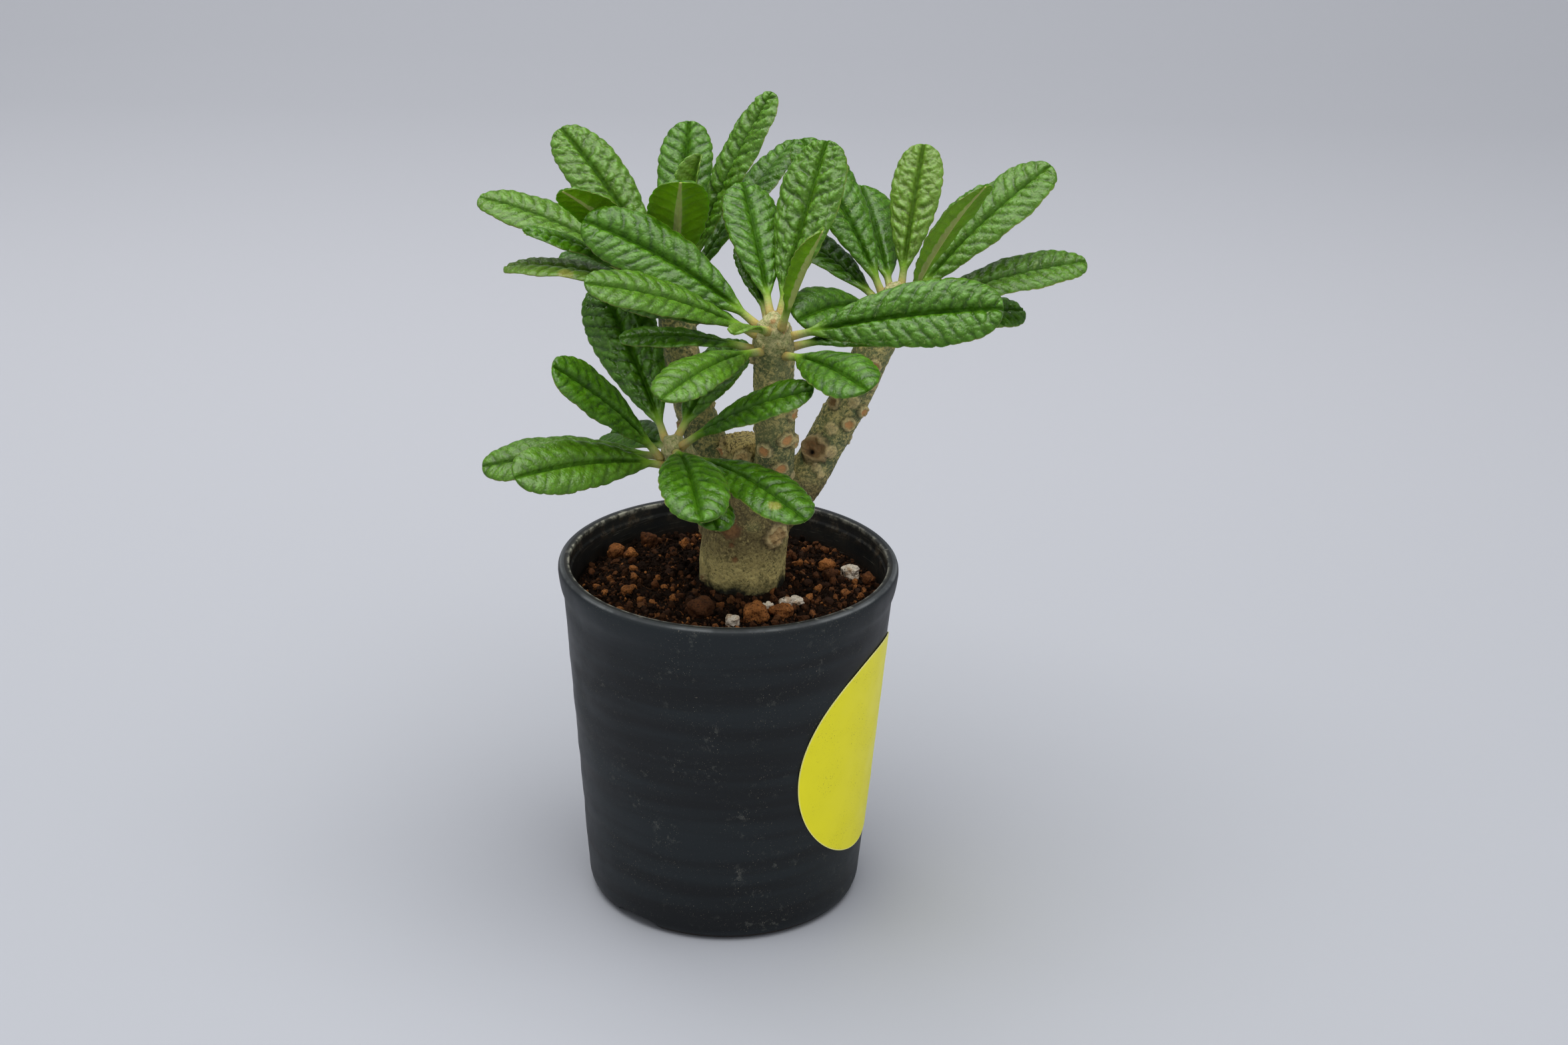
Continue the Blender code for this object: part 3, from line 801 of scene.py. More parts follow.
def leaf_tree(material):
    """The leaf: a closed skin whose rows run along the midrib and whose columns go round it."""
    tree = tree_of("Wrinkled Leaf", LEAF_INPUTS)
    whole = given(tree, "Length") * 1000.0
    petiole = given(tree, "Petiole") * 1000.0
    root = given(tree, "Root") * 1000.0
    width = given(tree, "Width") * 1000.0
    thickness = given(tree, "Thickness") * 1000.0
    wrinkle = given(tree, "Wrinkle") * 1000.0
    spacing = given(tree, "Vein spacing") * 1000.0
    scallop = given(tree, "Scallop") * 1000.0
    seed = given(tree, "Seed")

    grid = add(
        tree,
        "GeometryNodeMeshGrid",
        {
            "Size X": 1.0,
            "Size Y": 1.0,
            "Vertices X": given(tree, "Rows"),
            "Vertices Y": given(tree, "Columns"),
        },
    )
    flat_x, flat_y, _ = parts_of(tree, add(tree, "GeometryNodeInputPosition").outputs[0])
    row = flat_x + 0.5
    turn = flat_y
    top = 1.0 - turn.above(0.0)

    # Where the point is along and across the leaf
    reach = (1.0 - (1.0 - row) ** 1.3) * (whole + root) - root
    beyond = reach.at_least(0.0)
    share = ((reach - petiole) / (whole - petiole)).at_least(0.0).at_most(1.0)
    stalk = share.rise(0.0, 0.15, 1.0, 0.0)
    blade = 1.0 - stalk
    zigzag = 1.0 - turn.size() * 4.0
    across = (zigzag * 1.2566).sin() / 0.9511
    tip = 1.0 - share

    widest = BLADE_BASE_POWER / (BLADE_BASE_POWER + BLADE_TIP_POWER)
    most = widest**BLADE_BASE_POWER * (1 - widest) ** BLADE_TIP_POWER
    spoon = width * (0.5 / most) * (share**BLADE_BASE_POWER) * (tip**BLADE_TIP_POWER)
    flare = (reach + root).bell(2.4) * 0.30 + 1.0
    stalk_radius = flare * PETIOLE_RADIUS * (tip**0.5)
    half = (spoon * spoon + stalk_radius * stalk_radius).root()
    side = across.above(0.0)
    lean_there = half * 0.42 + half * half * 0.035
    bead = (((reach - lean_there) / spacing + side * 0.43 + seed).part() - 0.5).size() * 2.0
    ragged = noise_of(tree, vector_of(tree, reach * 0.9, side * 5.0, seed * 7.0), 1.0, 2.0) - 0.5
    frill = 0.5 - bead**2.4 + ragged * 1.8
    half = half + scallop * blade * frill * tip.rise(0.0, 0.04)
    cap = (row * 40.0).at_most(1.0).root()
    aside = across * half * cap
    away = aside.size()

    # The side veins, which lean towards the tip and bend forward at the margin
    lean = away * 0.42 + away * away * 0.035
    offset = side * 0.43 + seed
    wander = noise_of(tree, vector_of(tree, reach * 0.33, aside * 0.33, seed), 1.0) - 0.5
    order = (reach - lean) / spacing + offset + wander * 0.7
    vein = ((order.part() - 0.5) * 2.0).size()
    pillow = 1.0 - vein**3.0
    net = (cells_of(tree, vector_of(tree, order * 1.35, away / 2.0, seed * 3.7), 1.0) * 3.2).at_most(1.0)
    net = net * (2.0 - net)
    fine = cells_of(tree, vector_of(tree, order * 3.6, away / 0.8, seed * 9.1), 1.0)
    fine = (fine * 3.0).at_most(1.0)

    edge = across.size()
    inner = (1.0 - edge**6.0) * blade * away.rise(0.10, 0.85) * (half / 2.0).at_most(1.0)
    crumple = given(tree, "Crumple")
    relief = pillow * (0.80 - crumple * 0.30) + net * (0.36 + crumple * 0.50)
    swell = (relief + fine * (0.20 + crumple * 0.30) - 0.72) * wrinkle * inner
    crease = aside.bell(0.42) * blade * tip.rise(0.0, 0.25)
    ridge = aside.bell(0.62) * blade * tip.rise(0.0, 0.6, 0.15, 1.0)

    thin = (1.0 - edge**6.0).at_least(0.0).root() * thickness * 0.5
    round_half = (1.0 - edge * edge).at_least(0.0).root() * stalk_radius * cap
    body = thin * blade * (half / 1.2).at_most(1.0) + round_half * stalk
    lift = (given(tree, "Fold")).sin() / (given(tree, "Fold")).cos()
    keel = ((aside * aside + 0.5).root() - 0.7071) * lift * blade
    shoulder = 1.0 - sum_of(tree, "EXPONENT", edge * -5.5)
    lobe = (shoulder * (edge * 1.72).cos() - 0.25) * half * blade * 0.17
    curl = edge**7.0 * half * blade * -0.07
    wave = (reach * 0.62 + seed * 5.0).sin() * edge * edge * blade * half * 0.035
    above_rib = body + swell - crease * 0.56
    below_rib = swell * 0.55 - body - ridge * 0.55 - (vein**7.0) * inner * 0.12
    height = keel + lobe + curl + wave + above_rib * top + below_rib * (1.0 - top)

    # The midrib bends evenly from where it leaves the bark
    bend = given(tree, "Bend")
    angle = bend * beyond / whole
    radius = whole / bend
    along_x = angle.sin() * radius + reach.at_most(0.0)
    along_z = (1.0 - angle.cos()) * radius
    twist = given(tree, "Twist")
    up = aside * twist.sin() + height * twist.cos()
    x = along_x - angle.sin() * up
    y = aside * twist.cos() - height * twist.sin()
    z = along_z + angle.cos() * up
    place = vector_of(tree, x * MM, y * MM, z * MM)

    geometry = grid.outputs[0]
    for name, value in (
        ("across", across),
        ("along", share),
        ("stalk", stalk),
        ("vein", vein),
        ("net", net),
        ("fine", fine),
        ("top", top),
        ("rib", aside.bell(0.7)),
        ("reach", reach),
        ("age", given(tree, "Age")),
        ("netting", given(tree, "Netting")),
    ):
        geometry = store(tree, geometry, name, value)
    geometry = add(
        tree, "GeometryNodeSetPosition", {"Geometry": geometry, "Position": place}
    ).outputs[0]
    geometry = add(
        tree, "GeometryNodeMergeByDistance", {"Geometry": geometry, "Distance": 0.000008}
    ).outputs[0]
    finish_tree(tree, geometry, material)
    return tree


def read(tree, name):
    """A number that is stored on the mesh."""
    node = add(tree, "ShaderNodeAttribute", attribute_type="GEOMETRY", attribute_name=name)
    return Calc(tree, node.outputs["Fac"])


def blend(tree, factor, first, second):
    """One colour changing into another."""
    node = add(tree, "ShaderNodeMix", data_type="RGBA")
    feed(tree, node.inputs["Factor"], factor)
    for key, value in (("A", first), ("B", second)):
        socket = next(s for s in node.inputs if s.name == key and s.type == "RGBA")
        feed(tree, socket, (*value, 1.0) if isinstance(value, (tuple, list)) else value)
    return next(s for s in node.outputs if s.type == "RGBA")


def new_material(name):
    """A material, its tree, its shader and its Object coordinates."""
    material = bpy.data.materials.new(name)
    material.use_nodes = True
    tree = material.node_tree
    shader = tree.nodes["Principled BSDF"]
    place = add(tree, "ShaderNodeTexCoord").outputs["Object"]
    return material, tree, shader, place


def bump(tree, shader, height, distance, strength=1.0):
    node = add(
        tree, "ShaderNodeBump", {"Height": height, "Distance": distance, "Strength": strength}
    )
    tree.links.new(node.outputs[0], shader.inputs["Normal"])


def leaf_material(settings):
    material, tree, shader, place = new_material("leaf")
    age = read(tree, "age")
    net = read(tree, "net")
    vein = read(tree, "vein")
    stalk = read(tree, "stalk")
    rib = read(tree, "rib")
    edge = read(tree, "across").size()
    top = read(tree, "top")
    patches = noise_of(tree, place, 260.0, 3.0)
    flecks = noise_of(tree, place, 2600.0, 2.0)

    fine = read(tree, "fine")
    # Darker green in the vein hollows and lighter green on the raised pillows: painted shade that follows the
    # relief, with the patches adding real tone
    raised = net * 0.40 + fine * 0.18 + (1.0 - vein**3.0) * 0.42 + patches * 0.5 - 0.32
    green = blend(tree, raised.at_least(0.0).at_most(1.0), tuple(settings.deep), tuple(settings.fresh))
    # Painted sheen: pale whitish green laid on the pillow tops as a painted highlight, stronger on leaves with
    # more netting
    painted_sheen = net.rise(0.5, 1.0) * (1.0 - vein).rise(0.1, 0.6) * patches.rise(0.35, 0.6, 0.2, 0.6)
    green = blend(tree, painted_sheen * (read(tree, "netting") * 0.5 + 0.15), green, (0.17, 0.30, 0.10))
    green = blend(tree, age * 0.6, green, (0.30, 0.40, 0.08))
    strands = vein.rise(0.93, 1.0).at_least(net.rise(0.0, 0.22, 0.6, 0.0))
    # The sunken midrib is darkened towards the hollows' green: painted shade in the crease. The groove also
    # dulls the gloss, which is not painted.
    groove = rib.rise(0.35, 0.95)
    green = blend(tree, groove * 0.5, green, tuple(settings.deep))
    net_share = strands * read(tree, "netting") * (1.0 - groove)
    green = blend(tree, net_share, green, (0.28, 0.40, 0.10))
    pale = blend(tree, patches.rise(0.3, 0.7), tuple(settings.underside), (0.15, 0.30, 0.003))
    pale = blend(tree, vein.rise(0.86, 1.0) * 0.5, pale, (0.24, 0.33, 0.06))
    pale = blend(tree, edge.rise(0.4, 1.0) * 0.35, pale, (0.11, 0.20, 0.004))
    keel = read(tree, "along").rise(0.55, 1.0, 0.25, 0.75)
    pale = blend(tree, rib.rise(keel - 0.08, keel + 0.10) * 0.9, pale, (0.40, 0.41, 0.16))
    colour = blend(tree, top, pale, green)
    line = edge.rise(0.965, 0.995) * patches.rise(0.35, 0.6, 0.2, 0.9) * (1.0 - stalk)
    colour = blend(tree, line, colour, tuple(settings.margin))
    reach = read(tree, "reach")
    stalk_colour = blend(tree, patches.rise(0.4, 0.7), tuple(settings.petiole), (0.29, 0.31, 0.12))
    stalk_colour = blend(tree, reach.rise(1.6, 4.6), stalk_colour, (0.13, 0.235, 0.022))
    foot = reach.rise(0.0, 2.2, 1.0, 0.0)
    stalk_colour = blend(tree, foot * 0.7, stalk_colour, (0.40, 0.28, 0.11))
    shown = stalk.rise(0.15, 0.85).at_least(
        rib.rise(0.4, 0.9) * top * read(tree, "along").rise(0.0, 0.16, 0.6, 0.0)
    )
    colour = blend(tree, shown, colour, stalk_colour)
    colour = blend(tree, read(tree, "spot") * 0.75, colour, (0.26, 0.25, 0.06))
    tree.links.new(colour, shader.inputs["Base Color"])
    rough = flecks.rise(0.2, 0.8, settings.roughness - 0.12, settings.roughness + 0.04)
    rough = rough + (1.0 - top) * 0.18 + groove * 0.2
    feed(tree, shader.inputs["Roughness"], rough)
    feed(tree, shader.inputs["Specular IOR Level"], 0.50 - groove * 0.40)
    shader.inputs["IOR"].default_value = 1.43
    shader.inputs["Subsurface Weight"].default_value = 0.30
    shader.inputs["Subsurface Radius"].default_value = (0.35, 1.0, 0.15)
    shader.inputs["Subsurface Scale"].default_value = 0.0010
    crinkle = cells_of(tree, place, 1100.0) * 1.3 + flecks * 0.5
    bump(tree, shader, crinkle, 0.00015, 0.6)
    return material


def leaf_rows():
    for shoot, rows in LEAVES.items():
        for number, row in enumerate(rows, 1):
            yield shoot, number, row[:7], row[7] if len(row) > 7 else BLADE_FOLD


class PLANT_OT_leaves(bpy.types.Operator):
    """Grow every leaf over its solid"""

    bl_idname = "plant.leaves"
    bl_label = "Leaves"

    def execute(self, context):
        settings = context.scene.plant.leaf
        material = leaf_material(settings)
        tree = leaf_tree(material)
        for index, (shoot, number, row, fold) in enumerate(leaf_rows()):
            drop, heading, rise, length, width, bend, twist = row
            wrinkled, age, netting = LEAF_MOODS.get((shoot, number), LOW_MOOD if shoot == "low" else MOOD)
            foot = leaf_foot(RUNS[shoot], drop, heading, rise)
            name = f"{shoot}_leaf_{number:02d}"
            leaf = link(name, bpy.data.meshes.new(name))
            cell = settings.cell / MM
            values = {
                "Length": length * MM,
                "Petiole": PETIOLE_LENGTH * MM,
                "Root": 1.8 * MM,
                "Width": width * MM,
                "Thickness": settings.thickness,
                "Bend": math.radians(bend),
                "Twist": math.radians(twist),
                "Fold": math.radians(fold),
                "Wrinkle": settings.wrinkle * wrinkled * min(1.0, width / 10.0),
                "Vein spacing": settings.vein_spacing * (0.55 + 0.45 * width / 13.0),
                "Crumple": min(max(wrinkled - 1.0, 0.0) * 2.0, 1.0),
                "Scallop": settings.scallop,
                "Age": age,
                "Netting": netting,
                "Seed": 0.37 * index + 0.11,
                "Rows": max(30, round(length / cell)),
                "Columns": 2 * max(14, round(width / cell)) + 1,
            }
            run_tree(leaf, tree, values)
            turn = Matrix.Rotation(math.radians(heading), 4, "Z")
            turn = turn @ Matrix.Rotation(math.radians(-rise), 4, "Y")
            leaf.data.transform(Matrix.Translation(foot * MM) @ turn)
            leaf.data.shade_smooth()
            if (shoot, number) in LEAF_SPOTS:
                self.mark(leaf.data, *LEAF_SPOTS[shoot, number])
            settle(leaf, "leaf_green", f"{shoot}_shoot_leaf_{number:02d}")
        return {"FINISHED"}

    def mark(self, mesh, place, radius):
        """Paints a dry spot on a leaf."""
        points = np.empty(len(mesh.vertices) * 3, np.float32)
        mesh.vertices.foreach_get("co", points)
        away = np.linalg.norm(points.reshape(-1, 3) / MM - np.array(place), axis=1)
        layer = mesh.attributes.new("spot", "FLOAT", "POINT")
        dry = np.clip((radius - away) / 0.6 + 0.5, 0.0, 1.0)
        layer.data.foreach_set("value", dry.astype(np.float32))


# Stem


def run_rings(run, tip):
    """Close rings along a run, each square to it, with a rounded tip if asked."""
    points, radii, lengths = run_table(run)
    whole = lengths[-1]
    count = round(whole / RUN_STEP)
    reaches = [whole * k / count for k in range(count + 1)]
    if tip:
        reaches = [reach for reach in reaches if reach < whole - 0.3] + [whole - 0.12]
    rings = []
    side = Vector((1.0, 0.0, 0.0))
    for reach in reaches:
        i = step_at(lengths, reach)
        direction = (points[i + 1] - points[i]).normalized()
        centre = points[i] + direction * (reach - lengths[i])
        if not rings:
            rings.append([centre])
        side = (side - direction * side.dot(direction)).normalized()
        other = direction.cross(side)
        radius = radii[i] * (tip_share(whole - reach) if tip else 1.0)
        ring = []
        for k in range(RUN_SIDES):
            angle = math.tau * k / RUN_SIDES
            ring.append(centre + (side * math.cos(angle) + other * math.sin(angle)) * radius)
        rings.append(ring)
    rings.append([points[-1]])
    return rings


def place_on_run(name, height, heading):
    """The point of a run's skin at this height of its axis, and the way out from it."""
    points, radii, _ = run_table(RUNS[name])
    i = min(range(len(points) - 1), key=lambda k: abs(points[k].z - height))
    direction = (points[i + 1] - points[i]).normalized()
    outward = heading_vector(heading)
    outward = (outward - direction * outward.dot(direction)).normalized()
    return points[i] + outward * radii[i], outward


def spiral_marks():
    """Leaf scars that climb each shoot in a spiral, where no other mark is."""
    taken = [(place_on_run(*mark[:3])[0], mark[3]) for mark in MARKS]
    for run, low, high, heading in SPIRALS:
        height = low
        while height < high:
            place, _ = place_on_run(run, height, heading)
            radius = 1.25 + 0.35 * noise.noise(place)
            clear = all((place - other).length > radius + reach + 0.5 for other, reach in taken)
            if clear:
                taken.append((place, radius))
                fresh = noise.noise(place * 0.7) > -0.05
                yield run, height, heading, radius, "fresh" if fresh else "faded"
            height += SPIRAL_STEP
            heading += SPIRAL_TURN


def mark_bark(points, normals, grown, masks):
    """Raises each mark on the bark, and paints its face, rim, outline, hole and stain."""
    for run, height, heading, radius, kind in (*MARKS, *spiral_marks()):
        place, outward = place_on_run(run, height, heading)
        distance = np.linalg.norm(points - np.array(place), axis=1)
        near = np.nonzero((distance < radius * 2.2) & (normals @ np.array(outward) > 0.1))[0]
        if not len(near):
            continue
        ragged = np.array([noise.noise(Vector(points[k]) * 1.1) for k in near])
        share = distance[near] / radius * (1.0 + 0.26 * ragged)
        pad = 1.0 - np.clip((share - 0.80) / 0.40, 0.0, 1.0)
        pad = pad * pad * (3 - 2 * pad)
        rim = np.exp(-(((share - 0.80) / 0.17) ** 2))
        outline = np.exp(-(((share - 1.12) / 0.13) ** 2))
        face = 1.0 - np.clip((share - 0.50) / 0.18, 0.0, 1.0)
        lift = {
            "fresh": 0.70 * pad + 0.28 * rim - 0.22 * face,
            "ring": 0.70 * pad + 0.35 * rim - 0.40 * face,
            "faded": 0.42 * pad + 0.30 * ragged * pad,
            "cut": 1.00 * pad + 0.45 * rim - 0.35 * face,
            "holed": 0.80 * pad + 0.30 * rim - 0.20 * face,
            "knot": 0.80 * pad + 0.90 * ragged * pad,
            "stain": 0.12 * pad,
            "pit": -0.40 * pad,
        }[kind]
        hole = np.zeros(len(near))
        if kind in ("cut", "holed"):
            sideways = Vector((0, 0, 1)).cross(outward).normalized()
            low = Vector(place) - Vector((0, 0, 0.32 * radius)) - sideways * 0.18 * radius
            off = np.linalg.norm(points[near] - np.array(low), axis=1)
            hole = 1.0 - np.clip((off - 0.17 * radius) / (0.09 * radius), 0.0, 1.0)
            lift = lift - 1.1 * hole
        grown[near] += lift
        corked = rim if kind in ("fresh", "ring", "cut") else np.maximum(rim, pad * 0.6)
        layers = {
            "scar": face * {"fresh": 1.0, "ring": 0.25, "faded": 0.1, "cut": 0.1}.get(kind, 0.3),
            "cork": corked * {"fresh": 0.95, "ring": 0.6, "cut": 0.35, "stain": 0.0, "pit": 0.0}.get(kind, 0.85),
            "outline": outline * {"stain": 0.0, "pit": 0.0, "faded": 0.4}.get(kind, 0.75),
            "stain": pad * {"stain": 0.8, "pit": 0.9, "knot": 0.45, "ring": 0.6, "cut": 0.85}.get(kind, 0.0),
            "hole": hole,
        }
        for name, layer in layers.items():
            masks[name][near] = np.maximum(masks[name][near], layer)


def stem_material(settings):
    material, tree, shader, place = new_material("bark")
    scar, cork, outline, stain, hole, young, dry = (read(tree, name) for name in BARK_MASKS)
    _, _, z = parts_of(tree, place)
    mottle = noise_of(tree, place, 360.0, 4.0, 0.6)
    grain = noise_of(tree, place, 1500.0, 4.0, 0.72, 0.6)
    slow = noise_of(tree, place, 110.0, 2.0)
    flecks = cells_of(tree, place, 1700.0, "F1")
    low = z.rise(0.074, 0.096, 1.0, 0.0)

    fleck = (grain + mottle * 0.55 + low * 0.12).rise(0.68, 0.96)
    ground = blend(tree, slow.rise(0.38, 0.62), tuple(settings.green), (0.110, 0.140, 0.062))
    ground = blend(tree, low * 0.7, ground, (0.270, 0.205, 0.080))
    band = z.rise(0.078, 0.085) * z.rise(0.094, 0.102, 1.0, 0.0) * slow.rise(0.22, 0.46)
    ground = blend(tree, band * 0.6, ground, (0.150, 0.088, 0.040))
    colour = blend(tree, fleck * 0.85, ground, tuple(settings.tan))
    colour = blend(tree, flecks.rise(0.0, 0.24, 0.8, 0.0) * low, colour, (0.64, 0.57, 0.32))
    colour = blend(tree, grain.rise(0.30, 0.44, 0.55, 0.0), colour, (0.058, 0.052, 0.020))
    colour = blend(tree, band * mottle.rise(0.34, 0.56) * 0.6, colour, (0.075, 0.055, 0.022))
    # Darker towards the soil line and nearly black just above it: partly the damp, mossy foot of the trunk and
    # partly painted shade where the bark meets the soil
    damp_and_shade = z + (mottle - 0.5) * 0.008 + (grain - 0.5) * 0.002
    colour = blend(tree, damp_and_shade.rise(0.0736, 0.0772, 0.80, 0.0), colour, (0.050, 0.048, 0.016))
    colour = blend(tree, damp_and_shade.rise(0.0730, 0.0746, 1.0, 0.0), colour, (0.014, 0.013, 0.006))
    fuzz = blend(tree, grain.rise(0.35, 0.6), (0.20, 0.23, 0.075), (0.42, 0.38, 0.20))
    fuzz = blend(tree, mottle.rise(0.55, 0.68) * 0.7, fuzz, (0.34, 0.17, 0.06))
    colour = blend(tree, young, colour, fuzz)
    fibre = blend(tree, grain.rise(0.36, 0.56), (0.110, 0.075, 0.026), (0.74, 0.58, 0.25))
    colour = blend(tree, dry, colour, fibre)
    colour = blend(tree, stain * grain.rise(0.2, 0.7, 0.5, 1.0), colour, (0.210, 0.095, 0.045))
    colour = blend(tree, outline * 0.8, colour, (0.050, 0.036, 0.020))
    colour = blend(tree, cork * grain.rise(0.25, 0.55, 0.45, 1.0), colour, tuple(settings.rim))
    colour = blend(tree, scar * grain.rise(0.2, 0.55, 0.6, 1.0), colour, tuple(settings.scar))
    # The dented hole of a cut or holed scar is painted near black: painted shade in the recess
    colour = blend(tree, hole, colour, (0.012, 0.007, 0.005))
    tree.links.new(colour, shader.inputs["Base Color"])
    feed(tree, shader.inputs["Roughness"], grain.rise(0.3, 0.7, 0.62, 0.85))
    bump(tree, shader, grain * 0.9 + mottle * 0.5 + flecks * 0.3, 0.0005, 0.8)
    return material


class PLANT_OT_stem(bpy.types.Operator):
    """Fuse the trunk, its shoots and its cut stub, and mark the bark"""

    bl_idname = "plant.stem"
    bl_label = "Stem"

    def execute(self, context):
        settings = context.scene.plant.stem
        bm = bmesh.new()
        for name, run in RUNS.items():
            loft_into(bm, run_rings(run, name in LEAFY_RUNS))
        material = stem_material(settings)
        stem = object_from("plant_stem", bm)
        skin = stem.modifiers.new("Skin", "REMESH")
        skin.mode = "VOXEL"
        skin.voxel_size = settings.voxel
        relax = stem.modifiers.new("Relax", "SMOOTH")
        relax.factor = 0.5
        relax.iterations = 8
        keep_result(stem)
        self.shape(stem, settings)
        stem.data.materials.clear()
        stem.data.materials.append(material)
        stem.data.shade_smooth()
        settle(stem, "bark", "stem")
        return {"FINISHED"}

    def shape(self, stem, settings):
        """Lumps, grain and marks, which the skin gets along its normals."""
        mesh = stem.data
        count = len(mesh.vertices)
        points = np.empty(count * 3, np.float32)
        normals = np.empty(count * 3, np.float32)
        mesh.vertices.foreach_get("co", points)
        mesh.vertex_normals.foreach_get("vector", normals)
        points = points.reshape(-1, 3).astype(float) / MM
        normals = normals.reshape(-1, 3).astype(float)
        grown = np.zeros(count)
        for k, point in enumerate(points):
            spot = Vector(point)
            slow = noise.noise(spot * 0.16) + 0.5 * noise.noise(spot * 0.4)
            quick = noise.noise(spot * 1.1) + 0.6 * noise.noise(spot * 2.3)
            grown[k] = (slow * settings.lumps + quick * settings.grain) / MM
        masks = {name: np.zeros(count) for name in BARK_MASKS}
        mark_bark(points, normals, grown, masks)
        for run in LEAFY_RUNS:
            near = np.linalg.norm(points - np.array(RUNS[run][-1][:3]), axis=1)
            masks["young"] = np.maximum(masks["young"], 1.0 - np.clip((near - 5.5) / 4.5, 0.0, 1.0))
        near = np.linalg.norm(points - np.array(RUNS["stub"][-1][:3]), axis=1)
        masks["dry"] = 1.0 - np.clip((near - 4.8) / 1.6, 0.0, 1.0)
        for k in np.nonzero(masks["dry"] + masks["young"] > 0.0)[0]:
            spot = Vector(points[k])
            ridge = abs(noise.noise(Vector((spot.x * 1.3, spot.y * 0.5, spot.z * 0.9))))
            knobs = noise.noise(spot * 0.75)
            grown[k] += (0.5 - 2.6 * ridge) * 0.45 * masks["dry"][k]
            grown[k] += knobs * 0.55 * masks["young"][k]
        points += normals * grown[:, None]
        mesh.vertices.foreach_set("co", (points * MM).astype(np.float32).ravel())
        for name, values in masks.items():
            layer = mesh.attributes.new(name, "FLOAT", "POINT")
            layer.data.foreach_set("value", values.astype(np.float32))
        mesh.update()


# Pot and label


def wall_wave(height):
    """How far the moulded wall swells or dips at a height, in uneven bands."""
    bands = noise.noise(Vector((0.0, 0.0, height * 0.115 + 3.0)))
    bands += 0.5 * noise.noise(Vector((0.0, 5.0, height * 0.27)))
    fade = min((height - BASE_CORNER_TOP) / 6.0, (LIP_FOOT - 2.0 - height) / 6.0, 1.0)
    return WALL_WAVE * bands * max(fade, 0.0)


def pot_profile():
    """The pot's half section, with its edges rounded: it starts and ends on the axis."""
    wall = []
    height = BASE_CORNER_TOP
    while height < LIP_FOOT - 2.0:
        wall.append((wall_radius(height) + wall_wave(height), height))
        height += 1.0
    return (
        (0.0, 0.0),
        (CENTRE_FOOT_RADIUS - 0.4, 0.0),
        (CENTRE_FOOT_RADIUS, 0.4),
        (CENTRE_FOOT_RADIUS, FLOOR_UNDERSIDE - 0.3),
        (CENTRE_FOOT_RADIUS + 0.3, FLOOR_UNDERSIDE),
        (FOOT_RING_INNER - 0.4, FLOOR_UNDERSIDE),
        (FOOT_RING_INNER, FLOOR_UNDERSIDE - 0.4),
        (FOOT_RING_INNER, 0.3),
        (FOOT_RING_INNER + 0.3, 0.0),
        (BASE_RADIUS - 2.9, 0.0),
        (BASE_RADIUS - 2.2, 0.12),
        (BASE_RADIUS - 1.4, 0.55),
        (BASE_RADIUS - 0.8, 1.2),
        (BASE_RADIUS - 0.35, 2.1),
        (BASE_RADIUS - 0.1, 3.1),
        *wall,
        (wall_radius(LIP_FOOT - 1.2) + 0.02, LIP_FOOT - 1.2),
        (wall_radius(LIP_FOOT - 0.4) + 0.14, LIP_FOOT - 0.4),
        (wall_radius(LIP_FOOT) + 0.34, LIP_FOOT + 0.4),
        (wall_radius(LIP_FOOT) + 0.60, LIP_FOOT + 1.2),
        (RIM_RADIUS - 0.42, LIP_FOOT + 2.0),
        (RIM_RADIUS - 0.26, LIP_FOOT + 2.9),
        (RIM_RADIUS - 0.12, POT_HEIGHT - 2.6),
        (RIM_RADIUS - 0.02, POT_HEIGHT - 1.7),
        (RIM_RADIUS - 0.05, POT_HEIGHT - 1.0),
        (RIM_RADIUS - 0.22, POT_HEIGHT - 0.5),
        (RIM_RADIUS - 0.52, POT_HEIGHT - 0.18),
        (RIM_RADIUS - 0.95, POT_HEIGHT - 0.04),
        (RIM_INNER + 0.55, POT_HEIGHT),
        (RIM_INNER + 0.22, POT_HEIGHT - 0.04),
        (RIM_INNER + 0.06, POT_HEIGHT - 0.18),
        (RIM_INNER, POT_HEIGHT - 0.40),
        (RIM_INNER - 0.03, INNER_TOP[1] + 0.55),
        (RIM_INNER - 0.15, INNER_TOP[1] + 0.25),
        (INNER_TOP[0] + 0.05, INNER_TOP[1] + 0.05),
        (INNER_TOP[0], INNER_TOP[1] - 0.3),
        INNER_FOOT,
        (INNER_FOOT[0] - 0.4, INNER_FOOT[1] - 1.1),
        (INNER_FOOT[0] - FLOOR_FILLET, FLOOR_TOP),
        (0.0, FLOOR_TOP),
    )


def cutter_from(name, bm):
    cutter = object_from(name, bm, smooth=False)
    cutter.hide_render = True
    cutter.display_type = "WIRE"
    return cutter


def notch_cutter():
    """Three prisms across the foot ring, each narrower at its top."""
    bm = bmesh.new()
    for heading in NOTCH_HEADINGS:
        outward = heading_vector(heading)
        along = heading_vector(heading + 90.0)
        ends = []
        for reach in (FOOT_RING_INNER - 2.0, BASE_RADIUS + 2.0):
            ring = []
            for half, height in (
                (NOTCH_WIDTH / 2 + 1.0, -1.0),
                (NOTCH_WIDTH / 2, 0.0),
                (NOTCH_WIDTH / 2 - NOTCH_HEIGHT + 0.5, NOTCH_HEIGHT - 0.5),
                (NOTCH_WIDTH / 2 - NOTCH_HEIGHT - 0.4, NOTCH_HEIGHT),
                (NOTCH_HEIGHT + 0.4 - NOTCH_WIDTH / 2, NOTCH_HEIGHT),
                (NOTCH_HEIGHT - 0.5 - NOTCH_WIDTH / 2, NOTCH_HEIGHT - 0.5),
                (-NOTCH_WIDTH / 2, 0.0),
                (-NOTCH_WIDTH / 2 - 1.0, -1.0),
            ):
                ring.append(bm.verts.new(outward * reach + along * half + Vector((0, 0, height))))
            ends.append(ring)
        bridge(bm, *ends)
        bm.faces.new(ends[0])
        bm.faces.new(reversed(ends[1]))
    return cutter_from("notch_cutter", bm)


